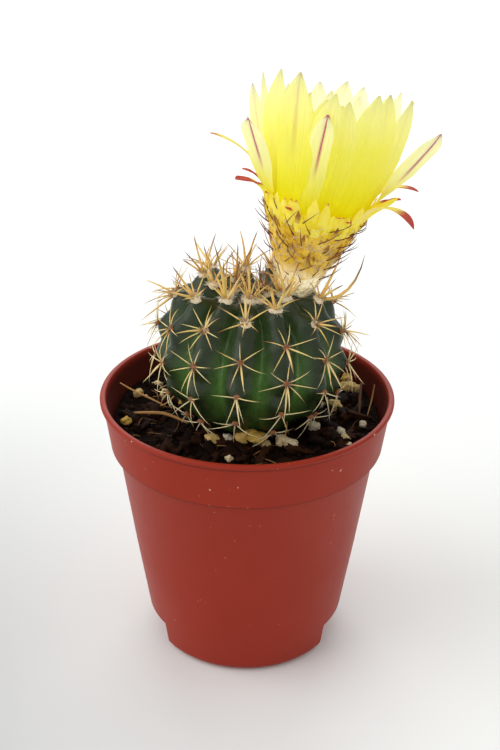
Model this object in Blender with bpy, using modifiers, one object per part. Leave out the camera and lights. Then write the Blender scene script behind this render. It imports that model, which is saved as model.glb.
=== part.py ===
"""A round cactus in flower, planted in a small plastic nursery pot.

The pot stands on the XY plane with its axis on +Z, and the flower leans towards +X.
Sizes are in millimetres where a name ends in _MM, and MM turns them into Blender's metres.
"""

import math

import bmesh
import bpy
from mathutils import Matrix, Vector, noise

MM = 0.001
GAP = 0.3 * MM

# Pot
POT_HEIGHT = 51.5 * MM
RIM_RADIUS = 27.5 * MM
WALL = 0.8 * MM
LIP_HEIGHT = 1.3 * MM
COLLAR_TOP_RADIUS = 26.9 * MM
COLLAR_FOOT_RADIUS = 25.6 * MM
COLLAR_FOOT_Z = 42.0 * MM
WALL_TOP_RADIUS = 24.5 * MM
WALL_FOOT_RADIUS = 18.6 * MM
FOOT_ROUND = 2.2 * MM
POT_STEPS = 60

# The wide notches in the pot's two sides, under its wall, and the drain holes in its floor
NOTCHES = 2
NOTCH_HALF_ANGLE = math.radians(36.5)
NOTCH_HEIGHT = 6.0 * MM
NOTCH_INNER_RADIUS = 16.4 * MM
DRAINS = 4
DRAIN_RADIUS = 1.5 * MM
DRAIN_PLACE = 10.5 * MM

# Soil
SOIL_TOP = 46.8 * MM
SOIL_ROUGHNESS = 0.45 * MM

# Stem
STEM_CENTRE = Vector((0.5, 0.5, 0)) * MM
RIBS = 13
RIB_DEPTH = 1.7 * MM
RIB_PHASE = math.radians(-97)
RIB_SLANT = math.radians(0.3) / MM
RIB_SLANT_Z = 61 * MM
TUBERCLE_HEIGHT = 0.55 * MM
TUBERCLE_REACH = 2.3 * MM
STEM_PROFILE_MM = (
    (0.0, 70.3), (3.0, 70.5), (6.6, 71.7), (10.6, 71.5), (14.6, 69.0), (17.0, 64.4),
    (17.2, 59.4), (15.6, 54.2), (12.0, 49.7), (7.5, 45.4), (4.0, 41.6), (0.0, 40.6),
)
BURIED_Z = 48.0 * MM

# Areoles follow one another on the stem by a constant turn of five ribs, in ever wider rings.
AREOLE_TURN = 5 * math.tau / RIBS
AREOLE_START = 7.1 * MM
AREOLE_STEP = 6.4 * MM / RIBS
# Every third one is built, so that their spines stay clear of each other. The flower has
# the place of number 6, and number 3 is too near it.
AREOLE_NUMBERS = (0, *range(9, 54, 3))
PAD_RADIUS = 0.95 * MM
PAD_FLATNESS = 0.6
RADIAL_SPINES = 7
RADIAL_LENGTH = 4.6 * MM
RADIAL_TILT = math.radians(64)
CENTRAL_LENGTH = 6.2 * MM

# Flower
FLOWER_PLACE = Vector((8.2, 1.9, 70.5)) * MM
FLOWER_TILT = math.radians(11.5)
TUBE_HEIGHT = 17.6 * MM
TUBE_FOOT_RADIUS = 3.2 * MM
TUBE_MOUTH_RADIUS = 9.0 * MM
TUBE_WALL = 0.6 * MM
PETAL_THICKNESS = 0.4 * MM
PETALS_IN_A_WHORL = 8
# Each whorl: radius at the foot, length, half width, lean at the foot and at the tip in degrees.
WHORLS = {
    "outer": (8.3 * MM, 22.0 * MM, 3.1 * MM, 20, 4),
    "middle": (7.1 * MM, 22.5 * MM, 2.8 * MM, 14, 2),
    "inner": (5.9 * MM, 21.5 * MM, 2.2 * MM, 9, 1),
}
# Each outer scale: azimuth in degrees, length, half width, lean at the foot and at the tip.
SEPALS = (
    (-5, 20.3 * MM, 1.5 * MM, 27, 21),
    (178, 16.0 * MM, 0.9 * MM, 27, 100),
    (20, 11.0 * MM, 1.0 * MM, 28, 120),
    (-38, 13.0 * MM, 1.0 * MM, 28, 140),
    (196, 8.5 * MM, 1.0 * MM, 30, 120),
)

# Loose pieces on the soil: azimuth in degrees, distance from the pot's axis, size.
GRITS = ((-84, 18.8 * MM, 2.1 * MM), (-68, 20.0 * MM, 1.5 * MM), (-136, 21.2 * MM, 1.3 * MM))
CHIPS = ((-52, 20.0 * MM, 20), (-110, 20.5 * MM, 75))
CHIP_SIZE = Vector((5.0, 2.2, 1.1)) * MM


def start():
    """An empty scene with one collection for the plant and one for the cutters."""
    for obj in list(bpy.data.objects):
        bpy.data.objects.remove(obj)
    made = {}
    for name in ("potted_round_cactus", "cutters"):
        made[name] = bpy.data.collections.new(name)
        bpy.context.scene.collection.children.link(made[name])
    return made["potted_round_cactus"], made["cutters"]


def material(name, colour, roughness, metallic=0.0):
    made = bpy.data.materials.new(name)
    made.use_nodes = True
    shader = made.node_tree.nodes["Principled BSDF"]
    shader.inputs["Base Color"].default_value = (*colour, 1)
    shader.inputs["Roughness"].default_value = roughness
    shader.inputs["Metallic"].default_value = metallic
    return made


def add(name, mesh, collection, finish=None):
    obj = bpy.data.objects.new(name, mesh)
    collection.objects.link(obj)
    if finish:
        mesh.materials.append(finish)
    return obj


def as_cutter(obj):
    obj.hide_render = True
    obj.display_type = "WIRE"
    return obj


def mesh_from(bm, name):
    mesh = bpy.data.meshes.new(name)
    bm.to_mesh(mesh)
    bm.free()
    return mesh


def outline_mesh(name, points):
    """The open outline of a turned shape, as (radius, height) pairs from top to bottom."""
    bm = bmesh.new()
    corners = [bm.verts.new((radius, 0, height)) for radius, height in points]
    for first, second in zip(corners, corners[1:]):
        bm.edges.new((first, second))
    return mesh_from(bm, name)


def turn(obj, steps):
    screw = obj.modifiers.new("turn", "SCREW")
    screw.axis = "Z"
    screw.steps = screw.render_steps = steps
    screw.use_merge_vertices = True
    screw.merge_threshold = 0.00001
    screw.use_smooth_shade = True
    return obj


def apply_modifiers(obj):
    """Replaces the object's mesh with the one that its modifiers make."""
    bpy.context.view_layer.update()
    evaluated = obj.evaluated_get(bpy.context.evaluated_depsgraph_get())
    mesh = bpy.data.meshes.new_from_object(evaluated)
    obj.modifiers.clear()
    obj.data = mesh
    return obj


def boolean(obj, other, operation="DIFFERENCE"):
    modifier = obj.modifiers.new(other.name, "BOOLEAN")
    modifier.operation = operation
    modifier.object = other


def arc(centre, radius, start_angle, end_angle, steps):
    """Points on a circle in the outline's plane, both ends included. Angles are in degrees."""
    angles = (start_angle + (end_angle - start_angle) * i / steps for i in range(steps + 1))
    return [
        (
            centre[0] + radius * math.cos(math.radians(angle)),
            centre[1] + radius * math.sin(math.radians(angle)),
        )
        for angle in angles
    ]


def smooth_curve(points, per_span):
    """A Catmull-Rom curve through the points, with that many steps between two of them."""
    knots = [Vector(p) for p in (points[0], *points, points[-1])]
    curve = []
    for a, b, c, d in zip(knots, knots[1:], knots[2:], knots[3:]):
        for i in range(per_span):
            t = i / per_span
            curve.append(
                0.5 * (2 * b + (c - a) * t + (2 * a - 5 * b + 4 * c - d) * t**2
                       + (3 * b - a - 3 * c + d) * t**3)
            )
    curve.append(knots[-1])
    return curve


def box(name, low, high, collection):
    bm = bmesh.new()
    bmesh.ops.create_cube(bm, size=1)
    size = [b - a for a, b in zip(low, high)]
    middle = [(a + b) / 2 for a, b in zip(low, high)]
    bmesh.ops.scale(bm, vec=size, verts=bm.verts)
    bmesh.ops.translate(bm, vec=middle, verts=bm.verts)
    return add(name, mesh_from(bm, name), collection)


# Pot ---------------------------------------------------------------------------------


def pot_outline():
    """Down the outside from the lip to the floor, and back up the inside."""
    lip_round = 0.35 * MM
    lip_inner = RIM_RADIUS - 1.2 * MM
    top_left = (lip_inner + lip_round, POT_HEIGHT - lip_round)
    top_right = (RIM_RADIUS - lip_round, POT_HEIGHT - lip_round)
    ledge_round = 0.3 * MM
    foot_centre = (WALL_FOOT_RADIUS - FOOT_ROUND, FOOT_ROUND)
    return [
        *arc(top_left, lip_round, 180, 90, 3),
        *arc(top_right, lip_round, 90, 0, 3),
        (RIM_RADIUS, POT_HEIGHT - LIP_HEIGHT),
        (COLLAR_TOP_RADIUS, POT_HEIGHT - LIP_HEIGHT - 0.1 * MM),
        (COLLAR_FOOT_RADIUS, COLLAR_FOOT_Z + ledge_round),
        (COLLAR_FOOT_RADIUS - ledge_round, COLLAR_FOOT_Z),
        (WALL_TOP_RADIUS, COLLAR_FOOT_Z - 0.2 * MM),
        *arc(foot_centre, FOOT_ROUND, -8, -90, 4),
        (0, 0),
        (0, WALL),
        (foot_centre[0], WALL),
        (foot_centre[0] + FOOT_ROUND - WALL, FOOT_ROUND),
        (WALL_TOP_RADIUS - WALL, COLLAR_FOOT_Z - 0.2 * MM),
        (COLLAR_FOOT_RADIUS - WALL, COLLAR_FOOT_Z + 1.0 * MM),
        (COLLAR_TOP_RADIUS - WALL, POT_HEIGHT - LIP_HEIGHT),
        (lip_inner, POT_HEIGHT - lip_round),
    ]


def ring_sector(name, outline, half_angle, azimuth, collection):
    """A closed outline of (radius, height) points, swept half_angle to each side of azimuth."""
    bm = bmesh.new()
    face = bm.faces.new([bm.verts.new((radius, 0, height)) for radius, height in outline])
    bmesh.ops.rotate(
        bm, verts=bm.verts, cent=(0, 0, 0), matrix=Matrix.Rotation(azimuth - half_angle, 3, "Z")
    )
    bmesh.ops.spin(
        bm, geom=[face, *face.edges, *face.verts], cent=(0, 0, 0), axis=(0, 0, 1),
        angle=2 * half_angle, steps=16,
    )
    bmesh.ops.recalc_face_normals(bm, faces=bm.faces)
    return as_cutter(add(name, mesh_from(bm, name), collection))


def notch_housing(number, collection, extra=0.0):
    """The raised step inside the pot that closes a notch from the soil."""
    inner = NOTCH_INNER_RADIUS - WALL - extra
    low, high = WALL / 2 - extra, NOTCH_HEIGHT + WALL + extra
    slope = (WALL_TOP_RADIUS - WALL_FOOT_RADIUS) / (COLLAR_FOOT_Z - FOOT_ROUND)
    outer = WALL_FOOT_RADIUS - WALL / 2 + extra * 8
    outline = [
        (inner, low), (outer - 1.1 * MM, low), (outer, FOOT_ROUND),
        (outer + slope * (high - FOOT_ROUND), high), (inner, high),
    ]
    half_angle = NOTCH_HALF_ANGLE + (WALL + extra) / NOTCH_INNER_RADIUS
    name = f"notch_housing_{number}_{extra:.4f}"
    return ring_sector(name, outline, half_angle, number * math.tau / NOTCHES, collection)


def notch_cutter(number, collection):
    low, high = -2 * MM, NOTCH_HEIGHT
    outline = [
        (NOTCH_INNER_RADIUS, low), (RIM_RADIUS, low), (RIM_RADIUS, high), (NOTCH_INNER_RADIUS, high)
    ]
    azimuth = number * math.tau / NOTCHES
    return ring_sector(f"notch_{number}", outline, NOTCH_HALF_ANGLE, azimuth, collection)


def drain_cutter(number, collection):
    bm = bmesh.new()
    bmesh.ops.create_cone(
        bm, cap_ends=True, segments=16, radius1=DRAIN_RADIUS, radius2=DRAIN_RADIUS, depth=4 * MM
    )
    bmesh.ops.translate(bm, vec=(DRAIN_PLACE, 0, WALL / 2), verts=bm.verts)
    bm.transform(Matrix.Rotation((number + 0.5) * math.tau / DRAINS, 4, "Z"))
    return as_cutter(add(f"drain_{number}", mesh_from(bm, "drain"), collection))


def make_pot(collection, cutters, finish):
    pot = add("pot", outline_mesh("pot", pot_outline()), collection, finish)
    turn(pot, POT_STEPS)
    for number in range(NOTCHES):
        boolean(pot, notch_housing(number, cutters), "UNION")
    for number in range(NOTCHES):
        boolean(pot, notch_cutter(number, cutters))
    for number in range(DRAINS):
        boolean(pot, drain_cutter(number, cutters))
    return apply_modifiers(pot)


# Stem --------------------------------------------------------------------------------


def stem_curve(per_span=2):
    return [p * MM for p in smooth_curve(STEM_PROFILE_MM, per_span)]


def rib_azimuth(azimuth, height):
    """The azimuth that a place has on the ribs, which slant a little."""
    return azimuth + RIB_SLANT * (height - RIB_SLANT_Z)


def rib_share(height):
    """How strong the ribs are at this height: none where the stem is in the soil."""
    return min(1.0, max(0.0, (height - BURIED_Z) / (4 * MM)))


def areole_on_stem(number):
    """(point on the rib's crest, outward normal, direction up the rib) of an areole."""
    along = AREOLE_START + number * AREOLE_STEP
    curve = stem_curve(per_span=6)
    walked = 0.0
    for here, there in zip(curve, curve[1:]):
        step = (there - here).length
        if walked + step >= along:
            break
        walked += step
    place = here.lerp(there, (along - walked) / step)
    run = (there - here).normalized()
    azimuth = rib_azimuth(RIB_PHASE + number * AREOLE_TURN, place.y)
    outward = Vector((math.cos(azimuth), math.sin(azimuth), 0))
    up = Vector((0, 0, 1))
    normal = outward * -run.y + up * run.x
    crest = STEM_CENTRE + outward * place.x + up * place.y
    return crest, normal, -(outward * run.x + up * run.y)


def flower_axis():
    """The flower's own frame: its foot at the origin, its axis on +Z."""
    return Matrix.Translation(FLOWER_PLACE) @ Matrix.Rotation(FLOWER_TILT, 4, "Y")


def flower_seat(cutters):
    """The hollow that the flower tube's foot sits in."""
    depth = 4 * MM
    bm = bmesh.new()
    bmesh.ops.create_cone(
        bm, cap_ends=True, segments=32, depth=depth,
        radius1=TUBE_FOOT_RADIUS + 2 * GAP, radius2=TUBE_FOOT_RADIUS + 1.8 * MM,
    )
    bmesh.ops.translate(bm, vec=(0, 0, depth / 2 - GAP), verts=bm.verts)
    bmesh.ops.transform(bm, matrix=flower_axis(), verts=bm.verts)
    return as_cutter(add("flower_seat", mesh_from(bm, "flower_seat"), cutters))


def make_stem(collection, cutters, finish):
    """A turned body whose points are drawn in at the furrows and raised under the areoles."""
    stem = add("stem", outline_mesh("stem", stem_curve()), collection, finish)
    apply_modifiers(turn(stem, RIBS * 6))
    areoles = [areole_on_stem(n)[0] for n in range(0, 60)]
    for vertex in stem.data.vertices:
        place = vertex.co.copy()
        radius = Vector((place.x, place.y)).length
        if radius < 0.1 * MM:
            continue
        azimuth = math.atan2(place.y, place.x)
        phase = azimuth - rib_azimuth(RIB_PHASE, place.z)
        crest = abs(math.cos(phase * RIBS / 2)) ** 0.75
        depth = RIB_DEPTH * rib_share(place.z) * min(1.0, radius / (10 * MM))
        swell = max(
            math.exp(-(((place + STEM_CENTRE) - a).length / TUBERCLE_REACH) ** 2) for a in areoles
        )
        change = TUBERCLE_HEIGHT * swell * rib_share(place.z) - depth * (1 - crest)
        vertex.co.xy = place.xy * (1 + change / radius)
    stem.data.transform(Matrix.Translation(STEM_CENTRE))
    boolean(stem, flower_seat(cutters))
    return apply_modifiers(stem)


# Soil --------------------------------------------------------------------------------


def make_soil(collection, cutters, finish):
    """The root ball of potting mix: it fills the pot, and the stem's foot sits in its pocket."""
    slope = (WALL_TOP_RADIUS - WALL_FOOT_RADIUS) / (COLLAR_FOOT_Z - FOOT_ROUND)
    inside = WALL + 2 * GAP
    edge = COLLAR_FOOT_RADIUS - inside
    rings = 9
    outline = [(edge * i / rings, SOIL_TOP) for i in range(rings + 1)]
    outline += [
        (edge - 0.3 * MM, COLLAR_FOOT_Z + 1.0 * MM),
        (WALL_TOP_RADIUS - inside - 0.4 * MM, COLLAR_FOOT_Z - 0.6 * MM),
        (WALL_FOOT_RADIUS + slope * 8 * MM - inside, 8 * MM),
        (WALL_FOOT_RADIUS - FOOT_ROUND - inside, WALL + GAP),
        (0, WALL + GAP),
    ]
    soil = add("soil", outline_mesh("soil", outline), collection, finish)
    apply_modifiers(turn(soil, 48))
    for vertex in soil.data.vertices:
        if vertex.co.z > SOIL_TOP - 0.1 * MM:
            vertex.co.z += SOIL_ROUGHNESS * noise.noise(vertex.co / (4 * MM))
    pocket_outline = [
        (point.x + (GAP if point.x > 0 else 0), point.y - GAP)
        for point in stem_curve()
        if point.y < BURIED_Z + 1 * MM
    ]
    widest = pocket_outline[0][0]
    top = SOIL_TOP + 4 * MM
    pocket = add(
        "stem_pocket",
        outline_mesh("stem_pocket", [(0, top), (widest + 1.5 * MM, top), *pocket_outline]),
        cutters,
    )
    apply_modifiers(turn(pocket, RIBS * 6))
    pocket.data.transform(Matrix.Translation(STEM_CENTRE))
    boolean(soil, as_cutter(pocket))
    for number in range(NOTCHES):
        boolean(soil, notch_housing(number, cutters, GAP))
    return apply_modifiers(soil)


def make_grit(number, azimuth, distance, size, collection, finish):
    """One grain of pumice: a ball with a few flat sides, resting on the soil."""
    bm = bmesh.new()
    bmesh.ops.create_icosphere(bm, subdivisions=2, radius=size)
    for vertex in bm.verts:
        lump = noise.noise(vertex.co / size * 1.3 + Vector((number * 7.0, 0, 0)))
        vertex.co *= 1 + 0.28 * lump
        vertex.co.z *= 0.75
    grain = add(f"grit_{number}", mesh_from(bm, "grit"), collection, finish)
    angle = math.radians(azimuth)
    lift = SOIL_TOP + SOIL_ROUGHNESS + size * 0.85
    grain.location = (distance * math.cos(angle), distance * math.sin(angle), lift)
    return grain


def make_chip(number, azimuth, distance, heading, collection, finish):
    """A flat splinter of bark, with its long edges broken."""
    bm = bmesh.new()
    bmesh.ops.create_cube(bm, size=1)
    bmesh.ops.subdivide_edges(bm, edges=bm.edges, cuts=2, use_grid_fill=True)
    bmesh.ops.scale(bm, vec=CHIP_SIZE, verts=bm.verts)
    for vertex in bm.verts:
        lump = noise.noise(vertex.co / (1.5 * MM) + Vector((0, number * 5.0, 0)))
        vertex.co += vertex.co.normalized() * lump * 0.4 * MM
    chip = add(f"bark_chip_{number}", mesh_from(bm, "chip"), collection, finish)
    angle = math.radians(azimuth)
    lift = SOIL_TOP + SOIL_ROUGHNESS + CHIP_SIZE.z * 0.5 + 2 * GAP
    chip.location = (distance * math.cos(angle), distance * math.sin(angle), lift)
    chip.rotation_euler = (0, 0, math.radians(heading))
    return chip


def make_wire(name, points, radius, collection, finish):
    """A thin root or fibre: a bevelled poly curve with filled caps."""
    curve = bpy.data.curves.new(name, "CURVE")
    curve.dimensions = "3D"
    curve.bevel_depth = radius
    curve.bevel_resolution = 1
    curve.use_fill_caps = True
    path = smooth_curve(points, 3)
    spline = curve.splines.new("POLY")
    spline.points.add(len(path) - 1)
    for knot, place in zip(spline.points, path):
        knot.co = (*place, 1)
    curve.materials.append(finish)
    obj = bpy.data.objects.new(name, curve)
    collection.objects.link(obj)
    return obj


# Areoles and spines ------------------------------------------------------------------


def make_areole(number, collection, finish):
    """A woolly pad on a rib, with its spines drawn out of the pad's own faces."""
    crest, normal, up_rib = areole_on_stem(number)
    side = normal.cross(up_rib)
    bm = bmesh.new()
    bmesh.ops.create_icosphere(bm, subdivisions=2, radius=PAD_RADIUS)
    directions = []
    for i in range(RADIAL_SPINES):
        turned = math.tau * (i + 0.5) / RADIAL_SPINES
        lean = Vector((
            math.sin(RADIAL_TILT) * math.cos(turned),
            math.sin(RADIAL_TILT) * math.sin(turned),
            math.cos(RADIAL_TILT),
        ))
        directions.append((lean, RADIAL_LENGTH))
    directions.append((Vector((0, -0.15, 1)).normalized(), CENTRAL_LENGTH))
    for direction, length in directions:
        bm.faces.ensure_lookup_table()
        face = max(bm.faces, key=lambda f: f.calc_center_median().normalized().dot(direction))
        tip = bmesh.ops.poke(bm, faces=[face])["verts"][0]
        tip.co = direction * length
    place = Matrix((side, up_rib, normal)).transposed().to_4x4()
    flat = Matrix.Diagonal((1, 1, PAD_FLATNESS, 1))
    for vertex in bm.verts:
        if vertex.co.length < PAD_RADIUS * 1.5:
            vertex.co = flat @ vertex.co
    areole = add(f"areole_{number:02d}", mesh_from(bm, "areole"), collection, finish)
    lift = TUBERCLE_HEIGHT + GAP + PAD_RADIUS * PAD_FLATNESS
    areole.matrix_world = Matrix.Translation(crest + normal * lift) @ place
    return areole


# Flower ------------------------------------------------------------------------------


def make_tube(parent, collection, finish):
    """The scaly cup under the petals: narrow at its foot, hollow and open at its mouth."""
    outside = [(TUBE_MOUTH_RADIUS, TUBE_HEIGHT), (7.6 * MM, 12.6 * MM), (5.9 * MM, 8.4 * MM),
               (4.2 * MM, 3.8 * MM), (TUBE_FOOT_RADIUS, 0.6 * MM), (2.6 * MM, 0), (0, 0)]
    inside = [(0, 6.5 * MM), (2.4 * MM, 6.6 * MM), (5.4 * MM, 9.6 * MM),
              (7.0 * MM, 12.8 * MM), (TUBE_MOUTH_RADIUS - TUBE_WALL, TUBE_HEIGHT)]
    bm_mesh = outline_mesh("flower_tube", [inside[-1], *outside, *inside])
    tube = add("flower_tube", bm_mesh, collection, finish)
    turn(tube, 32)
    tube.parent = parent
    return tube


def blade(name, azimuth, foot, length, half_width, lean, parent, collection, finish):
    """A petal or sepal: a curved strip on a cone around the flower's axis, made solid.

    foot is (radius, height) of its lower end, and lean the angles from the axis at both ends.
    """
    bm = bmesh.new()
    bmesh.ops.create_grid(bm, x_segments=2, y_segments=7, size=1)
    start_lean, end_lean = (math.radians(a) for a in lean)
    bend = end_lean - start_lean
    for vertex in bm.verts:
        across, along = vertex.co.x, (vertex.co.y + 1) / 2
        widening = min(1.0, 0.5 + along)
        tip_taper = 1 - 0.88 * (max(0.0, along - 0.55) / 0.45) ** 2
        width = half_width * widening * tip_taper
        angle_here = start_lean + bend * along
        radius = foot[0] + length * (math.cos(start_lean) - math.cos(angle_here)) / bend
        height = foot[1] + length * (math.sin(angle_here) - math.sin(start_lean)) / bend
        around = azimuth + across * width / radius
        vertex.co = (radius * math.cos(around), radius * math.sin(around), height)
    bmesh.ops.recalc_face_normals(bm, faces=bm.faces)
    leaf = add(name, mesh_from(bm, name), collection, finish)
    solidify = leaf.modifiers.new("thickness", "SOLIDIFY")
    solidify.thickness = PETAL_THICKNESS
    solidify.offset = 0
    leaf.parent = parent
    return leaf


def make_petals(parent, collection, finish):
    for turn_number, (whorl, values) in enumerate(WHORLS.items()):
        foot_radius, length, half_width, foot_lean, tip_lean = values
        foot_height = TUBE_HEIGHT + GAP + PETAL_THICKNESS / 2
        for i in range(PETALS_IN_A_WHORL):
            azimuth = math.tau * (i + turn_number / 2) / PETALS_IN_A_WHORL
            blade(f"petal_{whorl}_{i}", azimuth, (foot_radius, foot_height), length, half_width,
                  (foot_lean, tip_lean), parent, collection, finish)


def make_sepals(parent, collection, finish):
    """Narrow outer petals and scales that spring from the tube's shoulder and curl back."""
    foot = (TUBE_MOUTH_RADIUS + GAP + PETAL_THICKNESS, TUBE_HEIGHT - 1.0 * MM)
    for i, (azimuth, length, half_width, foot_lean, tip_lean) in enumerate(SEPALS):
        blade(f"sepal_{i}", math.radians(azimuth), foot, length, half_width,
              (foot_lean, tip_lean), parent, collection, finish)


def make_stigma(parent, collection, finish):
    """The style, a thin column that widens into the stigma."""
    outline = [(0, 28 * MM), (1.2 * MM, 27.6 * MM), (1.5 * MM, 26.4 * MM), (0.6 * MM, 24.8 * MM),
               (0.5 * MM, 7.2 * MM), (0, 7.2 * MM)]
    stigma = add("stigma", outline_mesh("stigma", outline), collection, finish)
    turn(stigma, 12)
    stigma.parent = parent


def make_stamens(parent, collection, finish):
    """The ring of stamens round the style: one cup whose upper faces are drawn out to points."""
    outline = [(2.0 * MM, 17 * MM), (4.2 * MM, 17 * MM), (2.2 * MM, 8 * MM), (1.2 * MM, 8 * MM),
               (2.0 * MM, 17 * MM)]
    stamens = add("stamens", outline_mesh("stamens", outline), collection, finish)
    apply_modifiers(turn(stamens, 24))
    bm = bmesh.new()
    bm.from_mesh(stamens.data)
    crown = [f for f in bm.faces if f.calc_center_median().z > 16.9 * MM]
    for tip in bmesh.ops.poke(bm, faces=crown)["verts"]:
        tip.co.z += 5 * MM
    bm.to_mesh(stamens.data)
    bm.free()
    stamens.parent = parent


def main():
    plant, cutters = start()
    plastic = material("terracotta_plastic", (0.42, 0.06, 0.035), 0.42)
    mix = material("potting_mix", (0.022, 0.013, 0.009), 0.95)
    pumice = material("pumice", (0.62, 0.5, 0.25), 0.9)
    bark = material("bark", (0.11, 0.05, 0.025), 0.9)
    fibre = material("root_fibre", (0.5, 0.26, 0.08), 0.8)
    skin = material("green_skin", (0.02, 0.09, 0.025), 0.4)
    spine = material("spine_gold", (0.68, 0.5, 0.25), 0.5)
    husk = material("flower_tube_skin", (0.7, 0.5, 0.1), 0.7)
    petal = material("petal_yellow", (0.85, 0.78, 0.06), 0.5)
    sepal = material("sepal_red", (0.6, 0.25, 0.1), 0.6)
    pollen = material("stamen_yellow", (0.85, 0.6, 0.05), 0.7)
    crimson = material("stigma_red", (0.35, 0.02, 0.03), 0.6)

    make_pot(plant, cutters, plastic)
    make_soil(plant, cutters, mix)
    make_stem(plant, cutters, skin)
    for number in AREOLE_NUMBERS:
        make_areole(number, plant, spine)
    for number, (azimuth, distance, size) in enumerate(GRITS):
        make_grit(number, azimuth, distance, size, plant, pumice)
    for number, (azimuth, distance, heading) in enumerate(CHIPS):
        make_chip(number, azimuth, distance, heading, plant, bark)
    root = ((-16.5, -18.0, 48.2), (-19.5, -13.5, 49.0), (-21.5, -9.5, 49.2), (-22.6, -6.0, 48.2))
    make_wire("root_fibre", [Vector(p) * MM for p in root], 0.3 * MM, plant, fibre)

    flower = bpy.data.objects.new("flower_axis", None)
    plant.objects.link(flower)
    flower.matrix_world = flower_axis()
    make_tube(flower, plant, husk)
    make_petals(flower, plant, petal)
    make_sepals(flower, plant, sepal)
    make_stigma(flower, plant, crimson)
    make_stamens(flower, plant, pollen)


main()
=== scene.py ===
"""A round cactus in flower in its nursery pot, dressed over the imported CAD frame.

Everything is in the CAD model's frame: the pot's foot stands on the XY plane with its axis
on +Z, and the flower leans towards +X. MM turns millimetres into metres.
"""

import math
import random
from collections import Counter

import bmesh
import bpy
from mathutils import Matrix, Vector, noise


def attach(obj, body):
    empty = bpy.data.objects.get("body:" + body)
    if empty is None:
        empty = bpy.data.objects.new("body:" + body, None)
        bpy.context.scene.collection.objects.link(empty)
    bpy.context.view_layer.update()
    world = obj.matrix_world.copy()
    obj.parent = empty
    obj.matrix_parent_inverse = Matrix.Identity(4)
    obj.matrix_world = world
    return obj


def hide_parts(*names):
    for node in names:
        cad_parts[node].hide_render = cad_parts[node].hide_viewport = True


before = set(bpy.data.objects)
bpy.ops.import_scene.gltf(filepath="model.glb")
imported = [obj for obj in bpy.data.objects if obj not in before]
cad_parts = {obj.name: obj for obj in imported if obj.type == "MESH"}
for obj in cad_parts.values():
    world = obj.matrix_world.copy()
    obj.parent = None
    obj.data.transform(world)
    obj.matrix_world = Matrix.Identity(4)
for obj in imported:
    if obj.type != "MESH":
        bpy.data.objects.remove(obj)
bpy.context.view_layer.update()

MM = 0.001
UP = Vector((0, 0, 1))
SEED = 11
# The turn from one of many parts to the next when they stand in a spiral, in radians.
GOLDEN_TURN = 2.399963

# Pot
POT_TOP = 51.5 * MM
RIM_RADIUS = 27.5 * MM
LIP_WIDTH = 1.15 * MM
LIP_HEIGHT = 0.9 * MM
COLLAR_TOP_RADIUS = 26.9 * MM
COLLAR_FOOT_RADIUS = 25.75 * MM
COLLAR_FOOT_Z = 41.8 * MM
COLLAR_SLOPE = 0.13
WALL_TOP_RADIUS = 24.45 * MM
WALL_FOOT_RADIUS = 18.65 * MM
FOOT_ROUND = 2.2 * MM
POT_WALL = 0.8 * MM
POT_STEPS = 192
SECTOR_STEPS = 48
SHARP_FROM = math.radians(40)
NOTCH_AZIMUTHS = (0, 180)
NOTCH_HALF_ANGLE = math.radians(36.5)
NOTCH_HEIGHT = 6.0 * MM
NOTCH_INNER_RADIUS = 16.4 * MM
DRAIN_AZIMUTHS = (45, 135, 225, 315)
DRAIN_PLACE = 10.5 * MM
DRAIN_RADIUS = 1.5 * MM

# Stem
STEM_X = 0.8 * MM
STEM_Y = 0.5 * MM
# From the crown to the foot in the soil: (radius, height).
STEM_OUTLINE_MM = (
    (0, 69.8), (2.4, 70.1), (5.0, 71.0), (7.8, 71.9), (10.7, 71.6), (13.3, 69.8), (15.2, 66.9),
    (16.2, 63.5), (16.6, 60.1), (16.2, 56.9), (14.9, 53.7), (12.6, 50.5), (10.0, 47.8),
    (7.6, 45.4), (5.6, 43.2), (3.6, 41.4), (0, 40.7),
)
RIBS = 13
RIB_DEPTH = 2.5 * MM
SWELLING = 1.3 * MM
SWELLING_REACH = 2.3 * MM
RIB_PHASE = math.radians(-98)
RIB_SLANT = math.radians(0.3) / MM
RIB_SLANT_Z = 61 * MM
STEM_STEPS = RIBS * 18
SHOULDER_Z = 64 * MM

# Areoles: each is five ribs round from the last, and a little further down the stem.
AREOLE_TURN = 5 * math.tau / RIBS
AREOLE_START = 6.7 * MM
AREOLE_STEP = 6.2 * MM / RIBS
AREOLES = range(-8, 66)
FLOWER_AREOLE = 6
LOWEST_FULL_FAN = 38

# Spines that stand out: areole, place of the tip in millimetres, radius at the foot.
LONG_SPINES = (
    (5, (-6.0, -9.0, 85.0), 0.34), (5, (-3.5, -8.0, 82.0), 0.2), (5, (-1.0, -10.0, 78.5), 0.32),
    (5, (0.5, -6.0, 80.5), 0.26), (10, (-16.5, -6.0, 74.5), 0.26), (10, (-13.5, -5.0, 77.0), 0.18),
    (7, (-11.5, 0.0, 79.5), 0.28), (2, (-7.0, 0.0, 77.0), 0.24), (15, (-19.5, -2.0, 66.5), 0.3),
    (15, (-11.5, -3.0, 73.5), 0.22), (-4, (1.5, -2.0, 78.5), 0.22), (-7, (3.0, -2.0, 78.5), 0.2),
    (8, (7.0, -11.0, 78.0), 0.34), (8, (3.5, -8.0, 77.5), 0.26), (8, (0.0, -10.0, 76.0), 0.24),
    (13, (-0.5, -11.5, 78.5), 0.28), (11, (20.5, -2.5, 80.5), 0.42), (-6, (-1.5, -2.0, 79.0), 0.22),
    (18, (-5.5, -14.0, 74.5), 0.26), (34, (6.5, -17.5, 55.0), 0.24), (21, (8.0, -19.0, 64.5), 0.26),
    (29, (16.5, -15.0, 60.0), 0.24), (11, (16.7, 0.2, 79.5), 0.36),
)

# A long spine that reaches further than this on +X is bowed.
BOWED_BEYOND_MM = 20

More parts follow.
